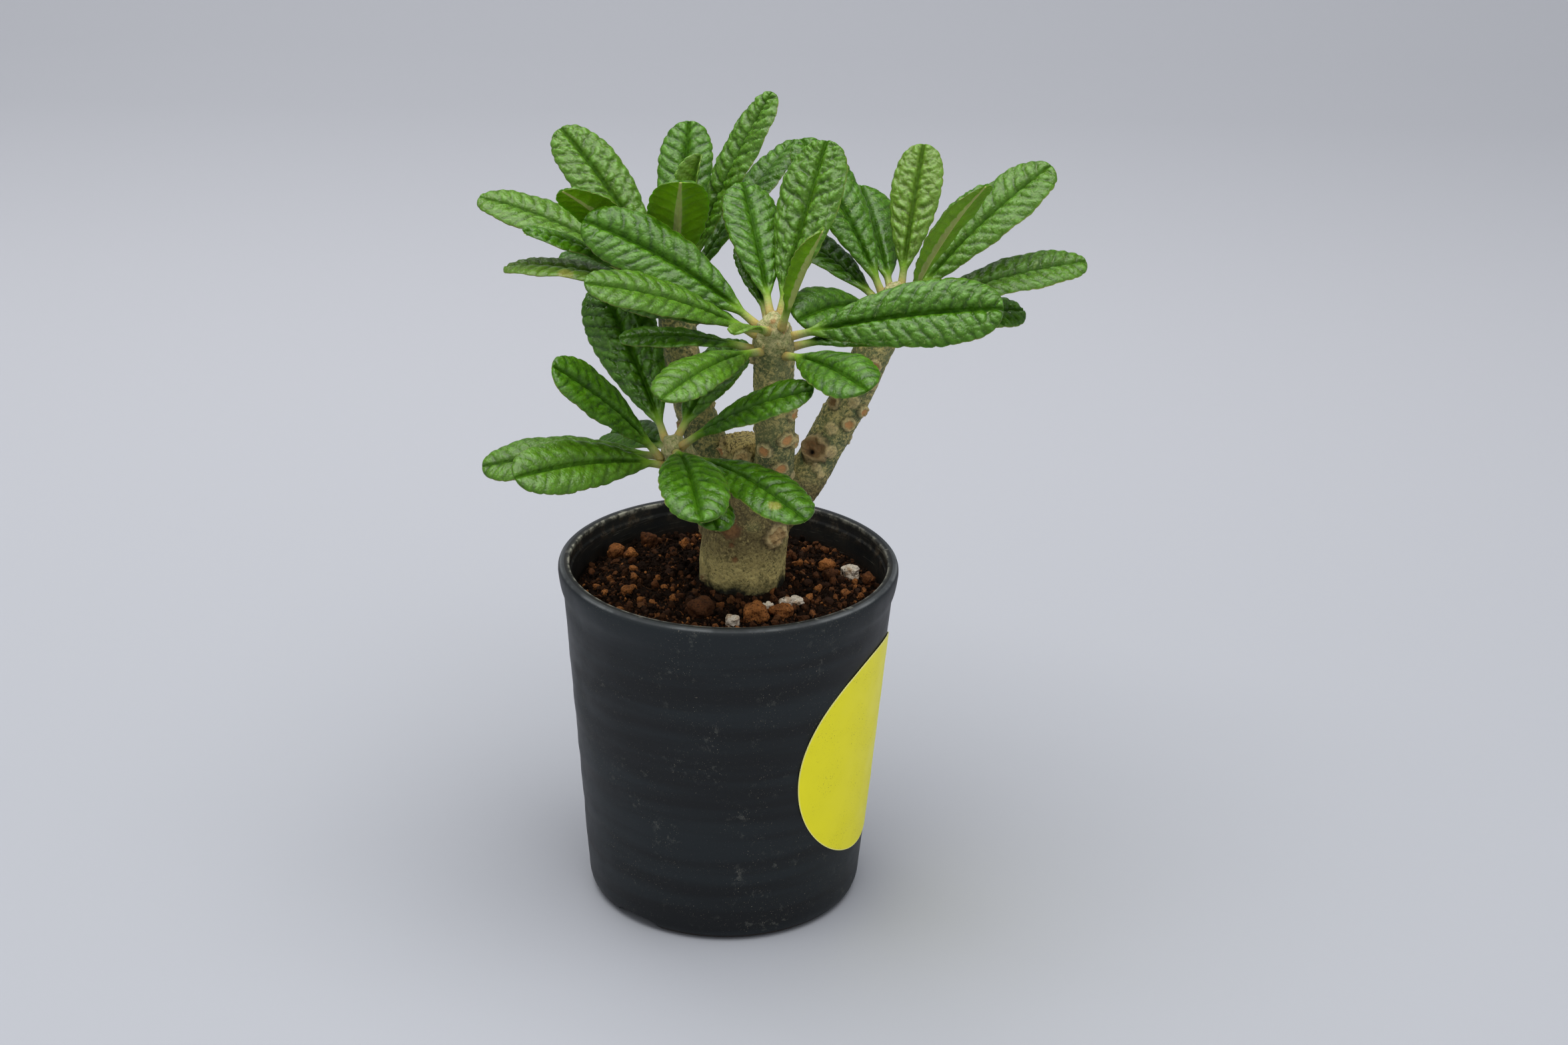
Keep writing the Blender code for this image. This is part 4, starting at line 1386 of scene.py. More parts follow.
def drain_cutter():
    bm = bmesh.new()
    for i in range(DRAIN_HOLES):
        centre = heading_vector(360.0 * (i + 0.5) / DRAIN_HOLES) * DRAIN_CIRCLE_RADIUS
        middle = Vector((0, 0, (FLOOR_UNDERSIDE + FLOOR_TOP) / 2))
        bmesh.ops.create_cone(
            bm,
            cap_ends=True,
            segments=32,
            radius1=DRAIN_HOLE_RADIUS,
            radius2=DRAIN_HOLE_RADIUS,
            depth=6.0,
            matrix=Matrix.Translation(centre + middle),
        )
    return cutter_from("drain_cutter", bm)


def pot_material(settings):
    material, tree, shader, place = new_material("pot_plastic")
    x, y, z = parts_of(tree, place)
    radius = (x * x + y * y).root()
    around = sum_of(tree, "ARCTAN2", y, x)
    bands = vector_of(tree, x * 0.5, y * 0.5, z * 7.0)
    strips = vector_of(tree, around * 0.0035, z * 2.6 + around * 0.006, 0.0)
    dust = noise_of(tree, place, 3600.0, 2.0, 0.6)
    cloud = noise_of(tree, place, 90.0, 4.0, 0.6)
    patch = noise_of(tree, place, 420.0, 4.0, 0.7)
    ripple = noise_of(tree, bands, 30.0, 2.0, 0.5)
    scratch = noise_of(tree, strips, 900.0, 3.0, 0.7)

    wall_middle = (z - BASE_CORNER_TOP * MM) * WALL_SLOPE + (BASE_RADIUS - WALL / 2) * MM
    inside = (wall_middle - radius).rise(-0.0001, 0.0001).at_least(
        z.rise(0.0738, 0.0744) * (RIM_INNER * MM + 0.00015 - radius).rise(-0.00005, 0.00005)
    )
    depth = POT_HEIGHT * MM - z
    flat_top = depth.rise(0.0002, 0.0006, 1.0, 0.0) * (1.0 - inside)
    worn_edge = (radius - (RIM_INNER + 0.12) * MM).bell(0.00032) * depth.rise(0.0004, 0.0012, 1.0, 0.0)
    worn_step = (z - INNER_TOP[1] * MM).bell(0.00028) * inside
    outer_edge = (radius - (RIM_RADIUS - 0.45) * MM).bell(0.00035) * flat_top
    specks = dust.rise(0.67, 0.72) * cloud.rise(0.40, 0.62, 0.2, 1.0)
    smear = patch.rise(0.56, 0.70) * cloud.rise(0.46, 0.62) * (1.0 - inside)

    # Uneven horizontal bands of lighter and darker black, on the same noise as the wall's bump: painted light
    # and shade of the moulded ripples
    colour = blend(tree, ripple.rise(0.36, 0.64), tuple(settings.plastic), (0.0088, 0.0135, 0.0160))
    colour = blend(tree, smear * 0.30, colour, (0.20, 0.20, 0.17))
    colour = blend(tree, specks * 0.6, colour, (0.36, 0.32, 0.24))
    colour = blend(tree, flat_top * cloud.rise(0.3, 0.7, 0.16, 0.40), colour, tuple(settings.worn))
    chips = patch.rise(0.42, 0.58, 0.12, 1.0)
    colour = blend(tree, worn_step * patch.rise(0.46, 0.62) * 0.5, colour, (0.26, 0.25, 0.21))
    colour = blend(tree, outer_edge * cloud.rise(0.42, 0.62, 0.0, 0.30), colour, (0.30, 0.31, 0.31))
    colour = blend(tree, inside * cloud.rise(0.35, 0.65, 0.2, 0.9), colour, (0.024, 0.023, 0.019))
    film = inside * depth.rise(0.0002, 0.0012) * depth.rise(0.0030, 0.0050, 1.0, 0.25)
    film = film * patch.rise(0.44, 0.66) * cloud.rise(0.38, 0.60, 0.25, 1.0)
    colour = blend(tree, film * 0.65, colour, (0.125, 0.090, 0.055))
    lines = inside * scratch.rise(0.60, 0.68) * cloud.rise(0.36, 0.60, 0.2, 0.8)
    colour = blend(tree, lines * 0.8, colour, (0.24, 0.23, 0.19))
    soiled = inside * depth.rise(0.0052, 0.0082) * dust.rise(0.40, 0.55)
    colour = blend(tree, soiled, colour, (0.035, 0.020, 0.012))
    worn_left = x.rise(-0.030, 0.010, 1.0, 0.45)
    colour = blend(tree, worn_edge * chips * worn_left, colour, (0.46, 0.44, 0.36))
    tree.links.new(colour, shader.inputs["Base Color"])
    rough = cloud.rise(0.3, 0.7, settings.roughness - 0.04, settings.roughness + 0.08)
    rough = rough + inside * 0.14 + (specks + smear) * 0.2 + flat_top * 0.18
    feed(tree, shader.inputs["Roughness"], rough)
    height = ripple * 0.7 + dust * 0.05 + scratch * inside * 0.25 + film * patch * 1.2
    bump(tree, shader, height, 0.00025, 0.6)
    return material


class PLANT_OT_pot(bpy.types.Operator):
    """Turn the pot, and cut its notches and drain holes"""

    bl_idname = "plant.pot"
    bl_label = "Pot"

    def execute(self, context):
        settings = context.scene.plant.pot
        material = pot_material(settings)
        pot = object_from("nursery_pot", turned(pot_profile(), POT_SIDES), material)
        cutters = (notch_cutter(), drain_cutter())
        for cutter in cutters:
            cut = pot.modifiers.new(cutter.name, "BOOLEAN")
            cut.operation = "DIFFERENCE"
            cut.solver = "EXACT"
            cut.object = cutter
        keep_result(pot)
        for cutter in cutters:
            bpy.data.objects.remove(cutter, do_unlink=True)
        pot.data.materials.clear()
        pot.data.materials.append(material)
        pot.data.shade_smooth()
        pot.data.set_sharp_from_angle(angle=math.radians(38))
        settle(pot, "pot_plastic", "pot")
        return {"FINISHED"}


def on_wall(across, up, standing):
    """A point of the flat label wrapped round the wall, standing this far off it."""
    half_angle = math.atan(WALL_SLOPE)
    apex = LABEL_CENTRE_HEIGHT - wall_radius(LABEL_CENTRE_HEIGHT) / WALL_SLOPE
    middle_slant = wall_radius(LABEL_CENTRE_HEIGHT) / math.sin(half_angle)
    slant = math.hypot(across, middle_slant + up)
    turn = math.atan2(across, middle_slant + up) / math.sin(half_angle)
    radius = slant * math.sin(half_angle) + standing * math.cos(half_angle)
    height = apex + slant * math.cos(half_angle) - standing * math.sin(half_angle)
    return heading_vector(LABEL_HEADING + math.degrees(turn)) * radius + Vector((0, 0, height))


def label_material(settings):
    material, tree, shader, place = new_material("label_paper")
    cloud = noise_of(tree, place, 120.0, 3.0)
    specks = noise_of(tree, place, 3600.0, 2.0, 0.6)
    fibre = noise_of(tree, place, 9000.0, 2.0, 0.6)
    edge = read(tree, "edge")
    colour = blend(tree, cloud.rise(0.3, 0.7) * 0.35, tuple(settings.colour), (0.72, 0.67, 0.015))
    colour = blend(tree, edge.rise(0.985, 1.0) * 0.6, colour, (0.80, 0.77, 0.45))
    colour = blend(tree, specks.rise(0.66, 0.70) * cloud.rise(0.4, 0.6) * 0.8, colour, (0.14, 0.11, 0.03))
    tree.links.new(colour, shader.inputs["Base Color"])
    feed(tree, shader.inputs["Roughness"], cloud.rise(0.3, 0.7, settings.roughness, 0.46))
    bump(tree, shader, cloud * 1.0 + fibre * 0.06, 0.00018, 0.5)
    return material


class PLANT_OT_label(bpy.types.Operator):
    """Lay the plain round sticker on the wall"""

    bl_idname = "plant.label"
    bl_label = "Label"

    def execute(self, context):
        settings = context.scene.plant.label
        sheets = []
        edges = []
        for lift in (0.05, 0.05 + settings.thickness / MM):
            rings = []
            for k in range(LABEL_RINGS + 1):
                radius = LABEL_RADIUS * k / LABEL_RINGS
                ring = []
                for i in range(LABEL_SIDES if k else 1):
                    flat = heading_vector(360.0 * i / LABEL_SIDES) * radius
                    waves = noise.noise(flat * 0.11) + 0.5 * noise.noise(flat * 0.3)
                    raised = (waves * 0.5 + 0.5) * settings.wrinkle / MM
                    ring.append(on_wall(flat.x, flat.y, lift + max(raised, 0.0)))
                rings.append(ring)
                edges.append([k / LABEL_RINGS] * len(ring))
            sheets.append(rings)
        bm = loft(sheets[0] + sheets[1][::-1])
        label = object_from("round_label", bm, label_material(settings))
        flat_edges = edges[: LABEL_RINGS + 1] + edges[LABEL_RINGS + 1 :][::-1]
        layer = label.data.attributes.new("edge", "FLOAT", "POINT")
        layer.data.foreach_set("value", [share for ring in flat_edges for share in ring])
        settle(label, "label_paper", "label")
        return {"FINISHED"}


# Soil


def soil_height(away):
    """The height of the soil's top at 0 to 1 of its radius."""
    fall = min(max((away - 0.55) / 0.45, 0.0), 1.0)
    return SOIL_MIDDLE_HEIGHT + (SOIL_EDGE_HEIGHT - SOIL_MIDDLE_HEIGHT) * fall * fall


def soil_bed(material):
    """The soil's closed body, with a fine top that the node tree then roughens."""
    edge = inner_radius(SOIL_EDGE_HEIGHT) - SOIL_GAP
    foot = INNER_FOOT[1] + SOIL_GAP
    foot_radius = inner_radius(foot) - SOIL_GAP
    profile = [(0.0, FLOOR_TOP + SOIL_GAP), (foot_radius - FLOOR_FILLET, FLOOR_TOP + SOIL_GAP)]
    profile += [(foot_radius, foot), (edge, SOIL_EDGE_HEIGHT - 0.5)]
    for k in range(SOIL_RINGS, -1, -1):
        profile.append((edge * k / SOIL_RINGS, soil_height(k / SOIL_RINGS)))
    return object_from("soil_bed", turned(profile, SOIL_SIDES), material)


def bed_tree(material):
    """Roughens the soil's top and heaps it a little against the trunk."""
    tree = tree_of("Soil Bed", {"Lump height": "Float", "Lump size": "Float", "Heap": "Float"})
    place = add(tree, "GeometryNodeInputPosition").outputs[0]
    x, y, z = parts_of(tree, place)
    edge = (x * x + y * y).root()
    off = trunk_distance(x, y)
    top = z.rise(0.0706, 0.0709) * edge.rise(0.0334, 0.0341, 1.0, 0.25)
    size = given(tree, "Lump size")
    slow = noise_of(tree, place, 1.0 / size, 3.0, 0.6)
    cells = cells_of(tree, place, 2.2 / size, "F1")
    height = (slow - 0.45) * 1.3 + (0.5 - cells) * 0.5
    heap = (off - 0.0092).bell(0.0016) * given(tree, "Heap")
    lift = vector_of(tree, 0.0, 0.0, (height * given(tree, "Lump height") + heap) * top)
    geometry = given(tree, "Geometry").socket
    geometry = add(
        tree, "GeometryNodeSetPosition", {"Geometry": geometry, "Offset": lift}
    ).outputs[0]
    geometry = store(tree, geometry, "shade", slow * 0.5)
    finish_tree(tree, geometry, material)
    return tree


def trunk_distance(x, y):
    """How far a point is from the trunk's axis, in metres."""
    return ((x - 0.003) * (x - 0.003) + (y - 0.003) * (y - 0.003)).root()


def random_of(tree, low, high, seed, kind="FLOAT"):
    node = add(tree, "FunctionNodeRandomValue", {"Seed": seed}, data_type=kind)
    first = 0 if kind == "FLOAT_VECTOR" else 2
    feed(tree, node.inputs[first], low)
    feed(tree, node.inputs[first + 1], high)
    return node.outputs[0] if kind == "FLOAT_VECTOR" else Calc(tree, node.outputs[1])


def scattered_points(tree):
    """Points over the soil's top, inside the wall and clear of the trunk."""
    x, y, z = parts_of(tree, add(tree, "GeometryNodeInputPosition").outputs[0])
    edge = (x * x + y * y).root()
    chosen = z.above(0.0706) * trunk_distance(x, y).above(given(tree, "Clear radius"))
    chosen = chosen * given(tree, "Reach").above(edge) * x.above(given(tree, "Leftmost"))
    return add(
        tree,
        "GeometryNodeDistributePointsOnFaces",
        {
            "Mesh": given(tree, "Geometry"),
            "Selection": chosen,
            "Density": given(tree, "Density"),
            "Seed": given(tree, "Seed"),
        },
        distribute_method="RANDOM",
    ).outputs["Points"]


GRAIN_INPUTS = {
    "Density": "Float",
    "Small": "Float",
    "Large": "Float",
    "Roughness": "Float",
    "Standing": "Float",
    "Clear radius": "Float",
    "Reach": "Float",
    "Leftmost": "Float",
    "Fineness": "Int",
    "Seed": "Int",
}


def grain_tree(name, material):
    """Scatters irregular grains over the soil's top."""
    tree = tree_of(name, GRAIN_INPUTS)
    seed = given(tree, "Seed")
    points = scattered_points(tree)
    small = given(tree, "Small")
    amount = random_of(tree, 0.0, 1.0, seed)
    size = small + (given(tree, "Large") - small) * amount**2.5
    up = vector_of(tree, 0.0, 0.0, size * given(tree, "Standing"))
    points = add(tree, "GeometryNodeSetPosition", {"Geometry": points, "Offset": up}).outputs[0]
    grain = add(
        tree, "GeometryNodeMeshIcoSphere", {"Radius": 1.0, "Subdivisions": given(tree, "Fineness")}
    ).outputs[0]
    whole_turn = (math.pi, math.pi, math.pi)
    turn = random_of(tree, tuple(-a for a in whole_turn), whole_turn, seed + 1.0, "FLOAT_VECTOR")
    long = random_of(tree, 0.95, 1.35, seed + 2.0)
    flat = random_of(tree, 0.60, 0.95, seed + 4.0)
    scale = vector_of(tree, size * long, size * 0.9, size * flat)
    spread = add(
        tree,
        "GeometryNodeInstanceOnPoints",
        {"Points": points, "Instance": grain, "Rotation": turn, "Scale": scale},
    ).outputs[0]
    shade = random_of(tree, 0.0, 1.0, seed + 3.0) ** 1.35
    spread = store(tree, spread, "shade", shade, "INSTANCE")
    spread = store(tree, spread, "size", size, "INSTANCE")
    real = add(tree, "GeometryNodeRealizeInstances", {0: spread}).outputs[0]
    own_size = add(
        tree, "GeometryNodeInputNamedAttribute", {"Name": "size"}, data_type="FLOAT"
    ).outputs[0]
    bumps = add(
        tree,
        "ShaderNodeTexNoise",
        {
            "Vector": add(tree, "GeometryNodeInputPosition").outputs[0],
            "Scale": 1.1 / given(tree, "Large"),
            "Detail": 3.0,
            "Roughness": 0.6,
        },
    ).outputs["Color"]
    strength = Calc(tree, own_size) * given(tree, "Roughness") * 2.0
    offset = vector_of(tree, *((part - 0.5) * strength for part in parts_of(tree, bumps)))
    geometry = add(
        tree, "GeometryNodeSetPosition", {"Geometry": real, "Offset": offset}
    ).outputs[0]
    finish_tree(tree, geometry, material)
    return tree


FIBRE_INPUTS = {
    "Density": "Float",
    "Thickness": "Float",
    "Longest": "Float",
    "Clear radius": "Float",
    "Reach": "Float",
    "Leftmost": "Float",
    "Seed": "Int",
}


def fibre_tree(material):
    """Strews thin curved fibres over the soil's top."""
    tree = tree_of("Soil Fibres", FIBRE_INPUTS)
    seed = given(tree, "Seed")
    points = scattered_points(tree)
    longest = given(tree, "Longest")
    spine = add(
        tree,
        "GeometryNodeCurveQuadraticBezier",
        {
            "Resolution": 6,
            "Start": vector_of(tree, longest * -0.5, 0.0, 0.0001),
            "Middle": vector_of(tree, 0.0, longest * 0.35, 0.0008),
            "End": vector_of(tree, longest * 0.5, 0.0, 0.0002),
        },
    ).outputs[0]
    thin = add(
        tree, "GeometryNodeCurvePrimitiveCircle", {"Resolution": 5, "Radius": given(tree, "Thickness")}
    ).outputs[0]
    fibre = add(
        tree,
        "GeometryNodeCurveToMesh",
        {"Curve": spine, "Profile Curve": thin, "Fill Caps": True},
    ).outputs[0]
    turn = random_of(tree, (-0.3, -0.3, 0.0), (0.3, 0.3, math.tau), seed + 1.0, "FLOAT_VECTOR")
    share = random_of(tree, 0.35, 1.0, seed + 2.0)
    spread = add(
        tree,
        "GeometryNodeInstanceOnPoints",
        {
            "Points": points,
            "Instance": fibre,
            "Rotation": turn,
            "Scale": vector_of(tree, share, share, 1.0),
        },
    ).outputs[0]
    spread = store(tree, spread, "shade", random_of(tree, 0.0, 1.3, seed + 3.0), "INSTANCE")
    finish_tree(tree, spread, material)
    return tree


def soil_material(settings):
    material, tree, shader, place = new_material("soil_mix")
    shade = read(tree, "shade")
    grain = noise_of(tree, place, 2600.0, 4.0, 0.65)
    slow = noise_of(tree, place, 200.0, 2.0)
    share = (shade * 0.9 + grain * 0.6 + slow * 0.3 - 0.65).rise(0.10, 0.75)
    colour = blend(tree, share, tuple(settings.dark), tuple(settings.brown))
    colour = blend(tree, shade.rise(0.90, 1.0) * 0.6, colour, (0.20, 0.10, 0.045))
    # Small lighter brown flecks on the raised grain: painted glints, a painted highlight on the crumbs
    colour = blend(tree, grain.rise(0.64, 0.72) * 0.5, colour, (0.15, 0.085, 0.045))
    tree.links.new(colour, shader.inputs["Base Color"])
    feed(tree, shader.inputs["Roughness"], grain.rise(0.3, 0.7, 0.68, 0.95))
    shader.inputs["Specular IOR Level"].default_value = 0.15
    bump(tree, shader, grain, 0.0005, 0.9)
    return material


def clay_material(settings):
    material, tree, shader, place = new_material("baked_clay")
    grain = noise_of(tree, place, 2300.0, 4.0, 0.65)
    slow = noise_of(tree, place, 420.0, 3.0, 0.6)
    pores = cells_of(tree, place, 1300.0, "F1")
    shade = read(tree, "shade") + (slow - 0.5) * 0.7
    colour = blend(tree, shade.rise(0.05, 0.55), (0.050, 0.023, 0.012), (0.17, 0.068, 0.026))
    colour = blend(tree, shade.rise(0.50, 0.98), colour, tuple(settings.clay))
    # Pale orange on the raised grain: a painted highlight
    colour = blend(tree, grain.rise(0.58, 0.72) * shade.rise(0.2, 0.9, 0.1, 0.6), colour, (0.58, 0.34, 0.14))
    colour = blend(tree, grain.rise(0.33, 0.49, 0.85, 0.0), colour, (0.024, 0.011, 0.006))
    # Darker in the pits of the bump: painted shade in the pits
    colour = blend(tree, pores.rise(0.05, 0.26, 0.8, 0.0), colour, (0.030, 0.013, 0.008))
    tree.links.new(colour, shader.inputs["Base Color"])
    feed(tree, shader.inputs["Roughness"], grain.rise(0.3, 0.7, 0.65, 0.9))
    shader.inputs["Specular IOR Level"].default_value = 0.2
    bump(tree, shader, grain + pores * 0.5, 0.0005, 0.9)
    return material


def pumice_material(settings):
    material, tree, shader, place = new_material("pumice")
    grain = noise_of(tree, place, 2600.0, 3.0, 0.6)
    slow = noise_of(tree, place, 520.0, 3.0)
    pores = cells_of(tree, place, 1500.0, "F1")
    colour = blend(tree, slow.rise(0.42, 0.66), tuple(settings.pumice), (0.48, 0.34, 0.22))
    colour = blend(tree, grain.rise(0.55, 0.70) * 0.5, colour, (0.86, 0.82, 0.75))
    # Darker in the pits of the bump, and nearly black in the pores that dent the stone: painted shade in the
    # pits
    colour = blend(tree, pores.rise(0.05, 0.20, 0.8, 0.0), colour, (0.13, 0.085, 0.06))
    colour = blend(tree, read(tree, "pore").rise(0.2, 0.8), colour, (0.030, 0.018, 0.012))
    tree.links.new(colour, shader.inputs["Base Color"])
    feed(tree, shader.inputs["Roughness"], grain.rise(0.3, 0.7, 0.8, 0.95))
    bump(tree, shader, grain * 0.5 + pores, 0.0005, 0.9)
    return material


class PLANT_OT_soil(bpy.types.Operator):
    """Fill the pot with soil, and scatter crumbs, pebbles and fibres on it"""

    bl_idname = "plant.soil"
    bl_label = "Soil"

    def execute(self, context):
        settings = context.scene.plant.soil
        soil = soil_material(settings)
        clay = clay_material(settings)
        bed = soil_bed(soil)
        run_tree(
            bed, bed_tree(soil), {"Lump height": 0.0016, "Lump size": 0.0026, "Heap": 0.0011}
        )
        bed.data.shade_smooth()
        # Grains: how many on a square metre, radii, roughness, fineness, reach and leftmost place
        grains = (
            ("soil_dust", soil, settings.dust, 0.00012, 0.00042, 0.8, 1, 0.0336, -0.04),
            ("soil_crumbs", soil, settings.crumbs, 0.00035, 0.0010, 1.2, 2, 0.0332, -0.04),
            ("soil_granules", clay, settings.granules, 0.00035, 0.0011, 1.0, 2, 0.0326, -0.04),
            ("soil_lumps", clay, settings.lumps, 0.0010, 0.0019, 1.0, 3, 0.0315, 0.0),
        )
        seeds = iter(range(settings.seed, settings.seed + 100, 11))
        for name, material, density, small, large, rough, fineness, reach, leftmost in grains:
            values = {
                "Density": density,
                "Small": small,
                "Large": large,
                "Roughness": rough,
                "Standing": 0.4,
                "Clear radius": 0.0097 + large * 0.7,
                "Reach": reach,
                "Leftmost": leftmost,
                "Fineness": fineness,
                "Seed": next(seeds),
            }
            self.strew(name, bed, grain_tree(name, material), values, material == clay)
        values = {
            "Density": settings.fibres,
            "Thickness": 0.00006,
            "Longest": 0.0038,
            "Clear radius": 0.0105,
            "Reach": 0.0322,
            "Leftmost": -0.04,
            "Seed": next(seeds),
        }
        self.strew("soil_fibres", bed, fibre_tree(soil), values, False)
        settle(bed, "soil_mix", "soil")
        return {"FINISHED"}

    def strew(self, name, bed, tree, values, clay):
        piece = link(name, bed.data.copy())
        run_tree(piece, tree, values)
        if clay:
            piece.data.shade_smooth()
        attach(piece, "root")


def stone_tree(name, material):
    """Roughens a stone: slow dents, then lumps, then pores."""
    sizes = {"Dent": "Float", "Lump": "Float", "Pore": "Float", "Size": "Float", "Shade": "Float"}
    tree = tree_of(name, sizes)
    place = add(tree, "GeometryNodeInputPosition").outputs[0]
    normal = add(tree, "GeometryNodeInputNormal").outputs[0]
    size = given(tree, "Size")
    slow = noise_of(tree, place, 0.9 / size, 2.0) - 0.5
    lumps = 0.45 - cells_of(tree, place, 900.0, "F1")
    grain = noise_of(tree, place, 1500.0, 2.0, 0.6) - 0.5
    pores = cells_of(tree, place, 620.0, "F1").rise(0.12, 0.30, 1.0, 0.0)
    height = slow * given(tree, "Dent") * 2.0 + (lumps + grain * 0.8) * given(tree, "Lump")
    height = height - pores * given(tree, "Pore")
    offset = vector_of(tree, *(part * height for part in parts_of(tree, normal)))
    geometry = add(
        tree,
        "GeometryNodeSetPosition",
        {"Geometry": given(tree, "Geometry"), "Offset": offset},
    ).outputs[0]
    geometry = store(tree, geometry, "shade", given(tree, "Shade"))
    geometry = store(tree, geometry, "pore", pores)
    finish_tree(tree, geometry, material)
    return tree


class PLANT_OT_stones(bpy.types.Operator):
    """Set the larger stones on the soil"""

    bl_idname = "plant.stones"
    bl_label = "Stones"

    def execute(self, context):
        settings = context.scene.plant.soil
        materials = {"clay": clay_material(settings), "pumice": pumice_material(settings)}
        trees = {kind: stone_tree(f"Rough {kind}", skin) for kind, skin in materials.items()}
        pores = {"clay": 0.00008, "pumice": 0.00035}
        slots = {"clay": "baked_clay", "pumice": "pumice"}
        counts = {"clay": 0, "pumice": 0}
        for x, y, long, wide, tall, turn, kind, shade in STONES:
            counts[kind] += 1
            bm = bmesh.new()
            bmesh.ops.create_icosphere(bm, subdivisions=4, radius=1.0)
            for vert in bm.verts:
                power = 4.0 if kind == "pumice" else 2.5
                vert.co /= sum(abs(part) ** power for part in vert.co) ** (1.0 / power)
            bmesh.ops.scale(bm, vec=(long, wide, tall), verts=bm.verts)
            spin = Matrix.Rotation(math.radians(turn), 3, "Z")
            bmesh.ops.rotate(bm, matrix=spin, verts=bm.verts)
            edge = inner_radius(SOIL_EDGE_HEIGHT) - SOIL_GAP
            seat = soil_height(math.hypot(x, y) / edge) + tall * 0.82
            bmesh.ops.translate(bm, vec=(x, y, seat), verts=bm.verts)
            name = f"{kind}_stone_{counts[kind]}"
            stone = object_from(f"rough_{name}", bm)
            size = (long + wide) * 0.5 * MM
            values = {
                "Dent": size * 0.6,
                "Lump": 0.00032,
                "Pore": pores[kind],
                "Size": size,
                "Shade": shade,
            }
            run_tree(stone, trees[kind], values)
            stone.data.shade_smooth()
            settle(stone, slots[kind], name)
        return {"FINISHED"}


# Stage


def stage_material(settings):
    material, tree, shader, place = new_material("backdrop")
    cloud = noise_of(tree, place, 2.0, 2.0)
    _, y, _ = parts_of(tree, place)
    # Darker at the front and under the pot, lighter farther back: painted shade that evens out how the softbox
    # lights the floor and backdrop
    back = (y + cloud * 0.04).rise(-0.02, 0.50)
    colour = blend(tree, back, tuple(settings.near), tuple(settings.far))
    tree.links.new(colour, shader.inputs["Base Color"])
    shader.inputs["Roughness"].default_value = 0.9
    shader.inputs["Specular IOR Level"].default_value = 0.1
    return material


def area_light(name, size, power, place, aim, colour=(1.0, 1.0, 1.0)):
    light = bpy.data.lights.new(name, "AREA")
    light.shape = "RECTANGLE"
    light.size, light.size_y = size
    light.energy = power
    light.color = colour
    lamp = bpy.data.objects.new(name, light)
    bpy.context.scene.collection.objects.link(lamp)
    lamp.location = place
    lamp.rotation_euler = (Vector(aim) - Vector(place)).to_track_quat("-Z", "Y").to_euler()
    return lamp


def camera_matrix():
    """Where the camera stands and how it is turned, from the aim point and its pixel."""
    elevation = math.radians(AIM_ELEVATION)
    out = Vector((0.0, -math.cos(elevation), math.sin(elevation)))
    place = Vector((0.0, 0.0, AIM_HEIGHT)) + out * AIM_DISTANCE
    right = Vector((1.0, 0.0, 0.0))
    looking = Matrix((right, out.cross(right), out))
    roll = Matrix.Rotation(math.radians(CAMERA_ROLL), 3, "Z")
    pixels = LENS / SENSOR_WIDTH * PICTURE_SIZE[0]
    seen = Vector(
        (
            (AIM_PIXEL[0] - PICTURE_SIZE[0] / 2) / pixels,
            (PICTURE_SIZE[1] / 2 - AIM_PIXEL[1]) / pixels,
            -1.0,
        )
    )
    pan = Vector((0.0, 0.0, -1.0)).rotation_difference(seen.normalized()).to_matrix()
    turned_back = (pan @ roll @ looking).transposed()
    return Matrix.Translation(place * MM) @ turned_back.to_4x4()


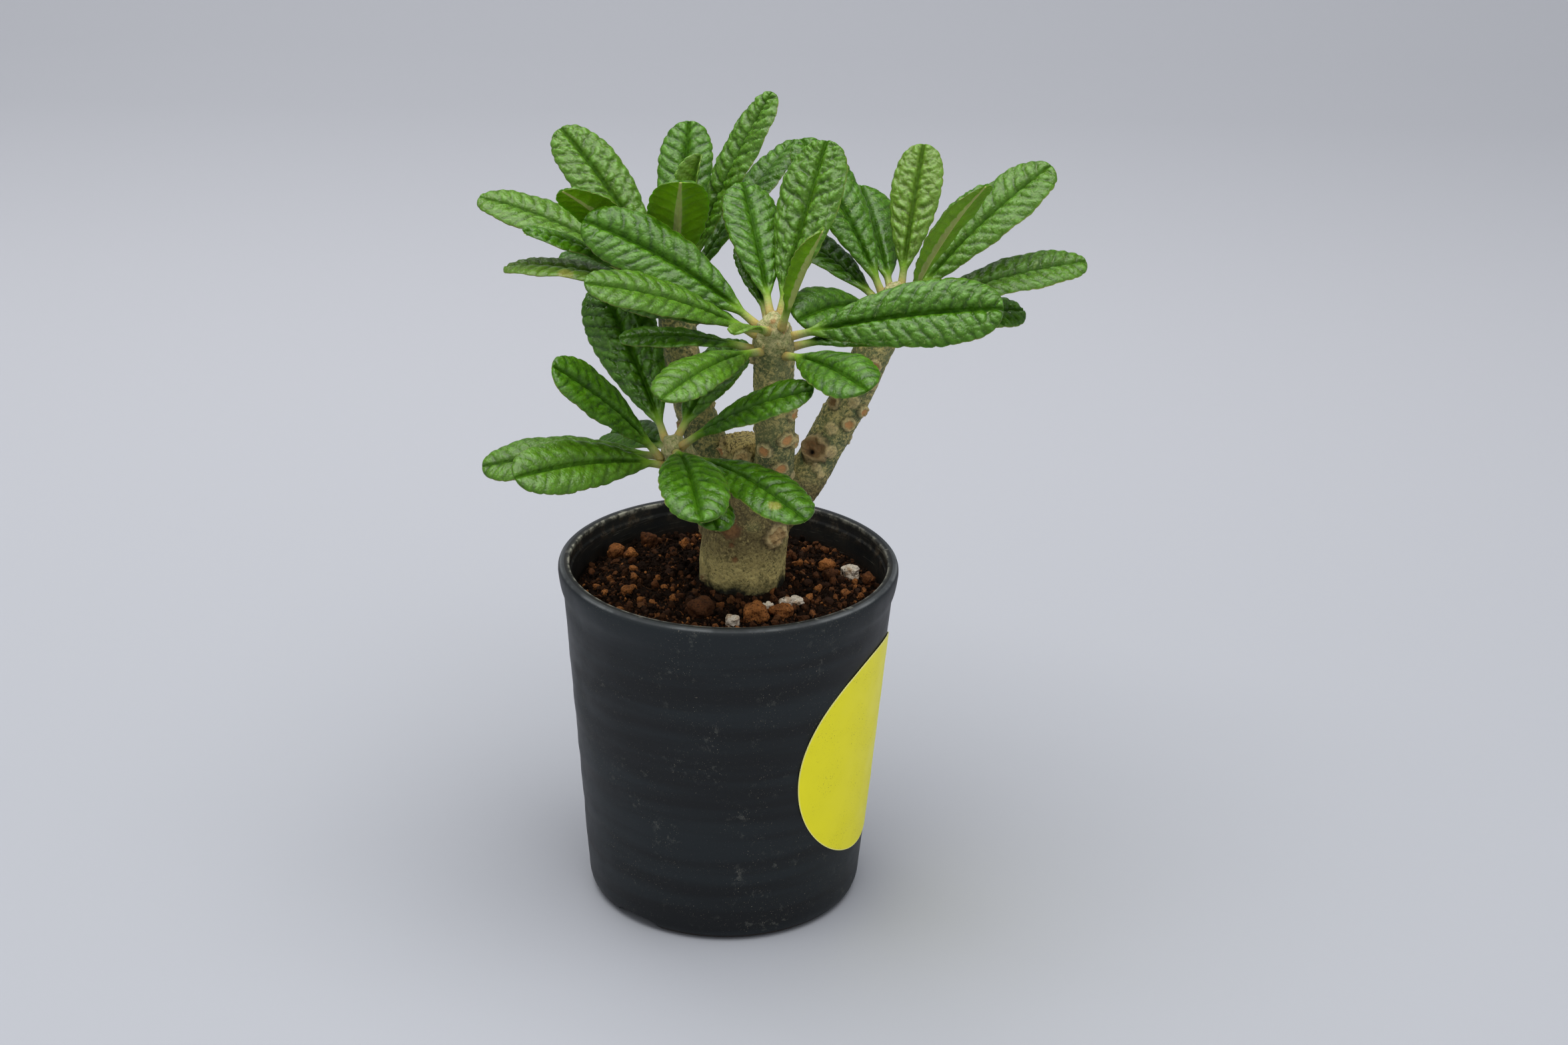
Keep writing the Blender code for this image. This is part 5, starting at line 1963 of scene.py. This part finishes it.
class PLANT_OT_stage(bpy.types.Operator):
    """Set up the pale floor and backdrop, the soft light and the camera"""

    bl_idname = "plant.stage"
    bl_label = "Stage"

    def execute(self, context):
        settings = context.scene.plant.stage
        bm = bmesh.new()
        bend = [(y, 0.0) for y in (-12000.0, -600.0, 0.0, 700.0)]
        for k in range(1, 13):
            angle = math.radians(90.0 * k / 12)
            bend.append((700.0 + 700.0 * math.sin(angle), 700.0 * (1.0 - math.cos(angle))))
        bend.append((1400.0, 3000.0))
        columns = []
        for x in (-6000.0, 6000.0):
            columns.append([bm.verts.new((x, y, z)) for y, z in bend])
        for k in range(len(bend) - 1):
            left, right = columns
            bm.faces.new((left[k], right[k], right[k + 1], left[k + 1]))
        floor = object_from("backdrop", bm, stage_material(settings), sharp=80.0)

        world = bpy.data.worlds.new("even_sky")
        world.use_nodes = True
        sky = world.node_tree.nodes["Background"]
        sky.inputs["Color"].default_value = (0.93, 0.96, 1.0, 1.0)
        sky.inputs["Strength"].default_value = settings.sky
        context.scene.world = world
        area_light("softbox", (1.1, 0.9), settings.power, (-0.04, -0.08, 1.0), (0.0, 0.0, 0.1))
        area_light("behind", (0.5, 0.4), settings.sheen, (-0.28, 0.55, 0.80), (0.0, 0.0, 0.1))

        camera_data = bpy.data.cameras.new("view")
        camera_data.lens = LENS
        camera_data.sensor_width = SENSOR_WIDTH
        camera_data.clip_start = 0.01
        camera_data.clip_end = 20.0
        camera = bpy.data.objects.new("view", camera_data)
        context.scene.collection.objects.link(camera)
        camera.matrix_world = camera_matrix()
        context.scene.camera = camera
        context.scene.view_settings.view_transform = "Standard"
        context.scene.view_settings.look = "Medium High Contrast"
        return {"FINISHED"}


# Panel and registration


class PLANT_PT_panel(bpy.types.Panel):
    """Lists what builds each part of the plant"""

    bl_label = "Potted Dorstenia"
    bl_idname = "PLANT_PT_panel"
    bl_space_type = "VIEW_3D"
    bl_region_type = "UI"
    bl_category = "Plant"

    def draw(self, context):
        for operator, group in STEPS:
            box = self.layout.box()
            box.operator(operator.bl_idname)
            settings = getattr(context.scene.plant, group)
            for name in settings.bl_rna.properties.keys():
                if name not in ("rna_type", "name"):
                    box.prop(settings, name)


STEPS = (
    (PLANT_OT_pot, "pot"),
    (PLANT_OT_label, "label"),
    (PLANT_OT_soil, "soil"),
    (PLANT_OT_stones, "soil"),
    (PLANT_OT_stem, "stem"),
    (PLANT_OT_leaves, "leaf"),
    (PLANT_OT_stage, "stage"),
)
CLASSES = (
    LeafSettings,
    StemSettings,
    PotSettings,
    LabelSettings,
    SoilSettings,
    StageSettings,
    PlantSettings,
    *(operator for operator, _ in STEPS),
    PLANT_PT_panel,
)


def register():
    for cls in CLASSES:
        bpy.utils.register_class(cls)
    bpy.types.Scene.plant = PointerProperty(type=PlantSettings)


def unregister():
    del bpy.types.Scene.plant
    for cls in reversed(CLASSES):
        bpy.utils.unregister_class(cls)


def main():
    register()
    for operator, _ in STEPS:
        group, name = operator.bl_idname.split(".")
        getattr(getattr(bpy.ops, group), name)()


if __name__ == "__main__":
    main()
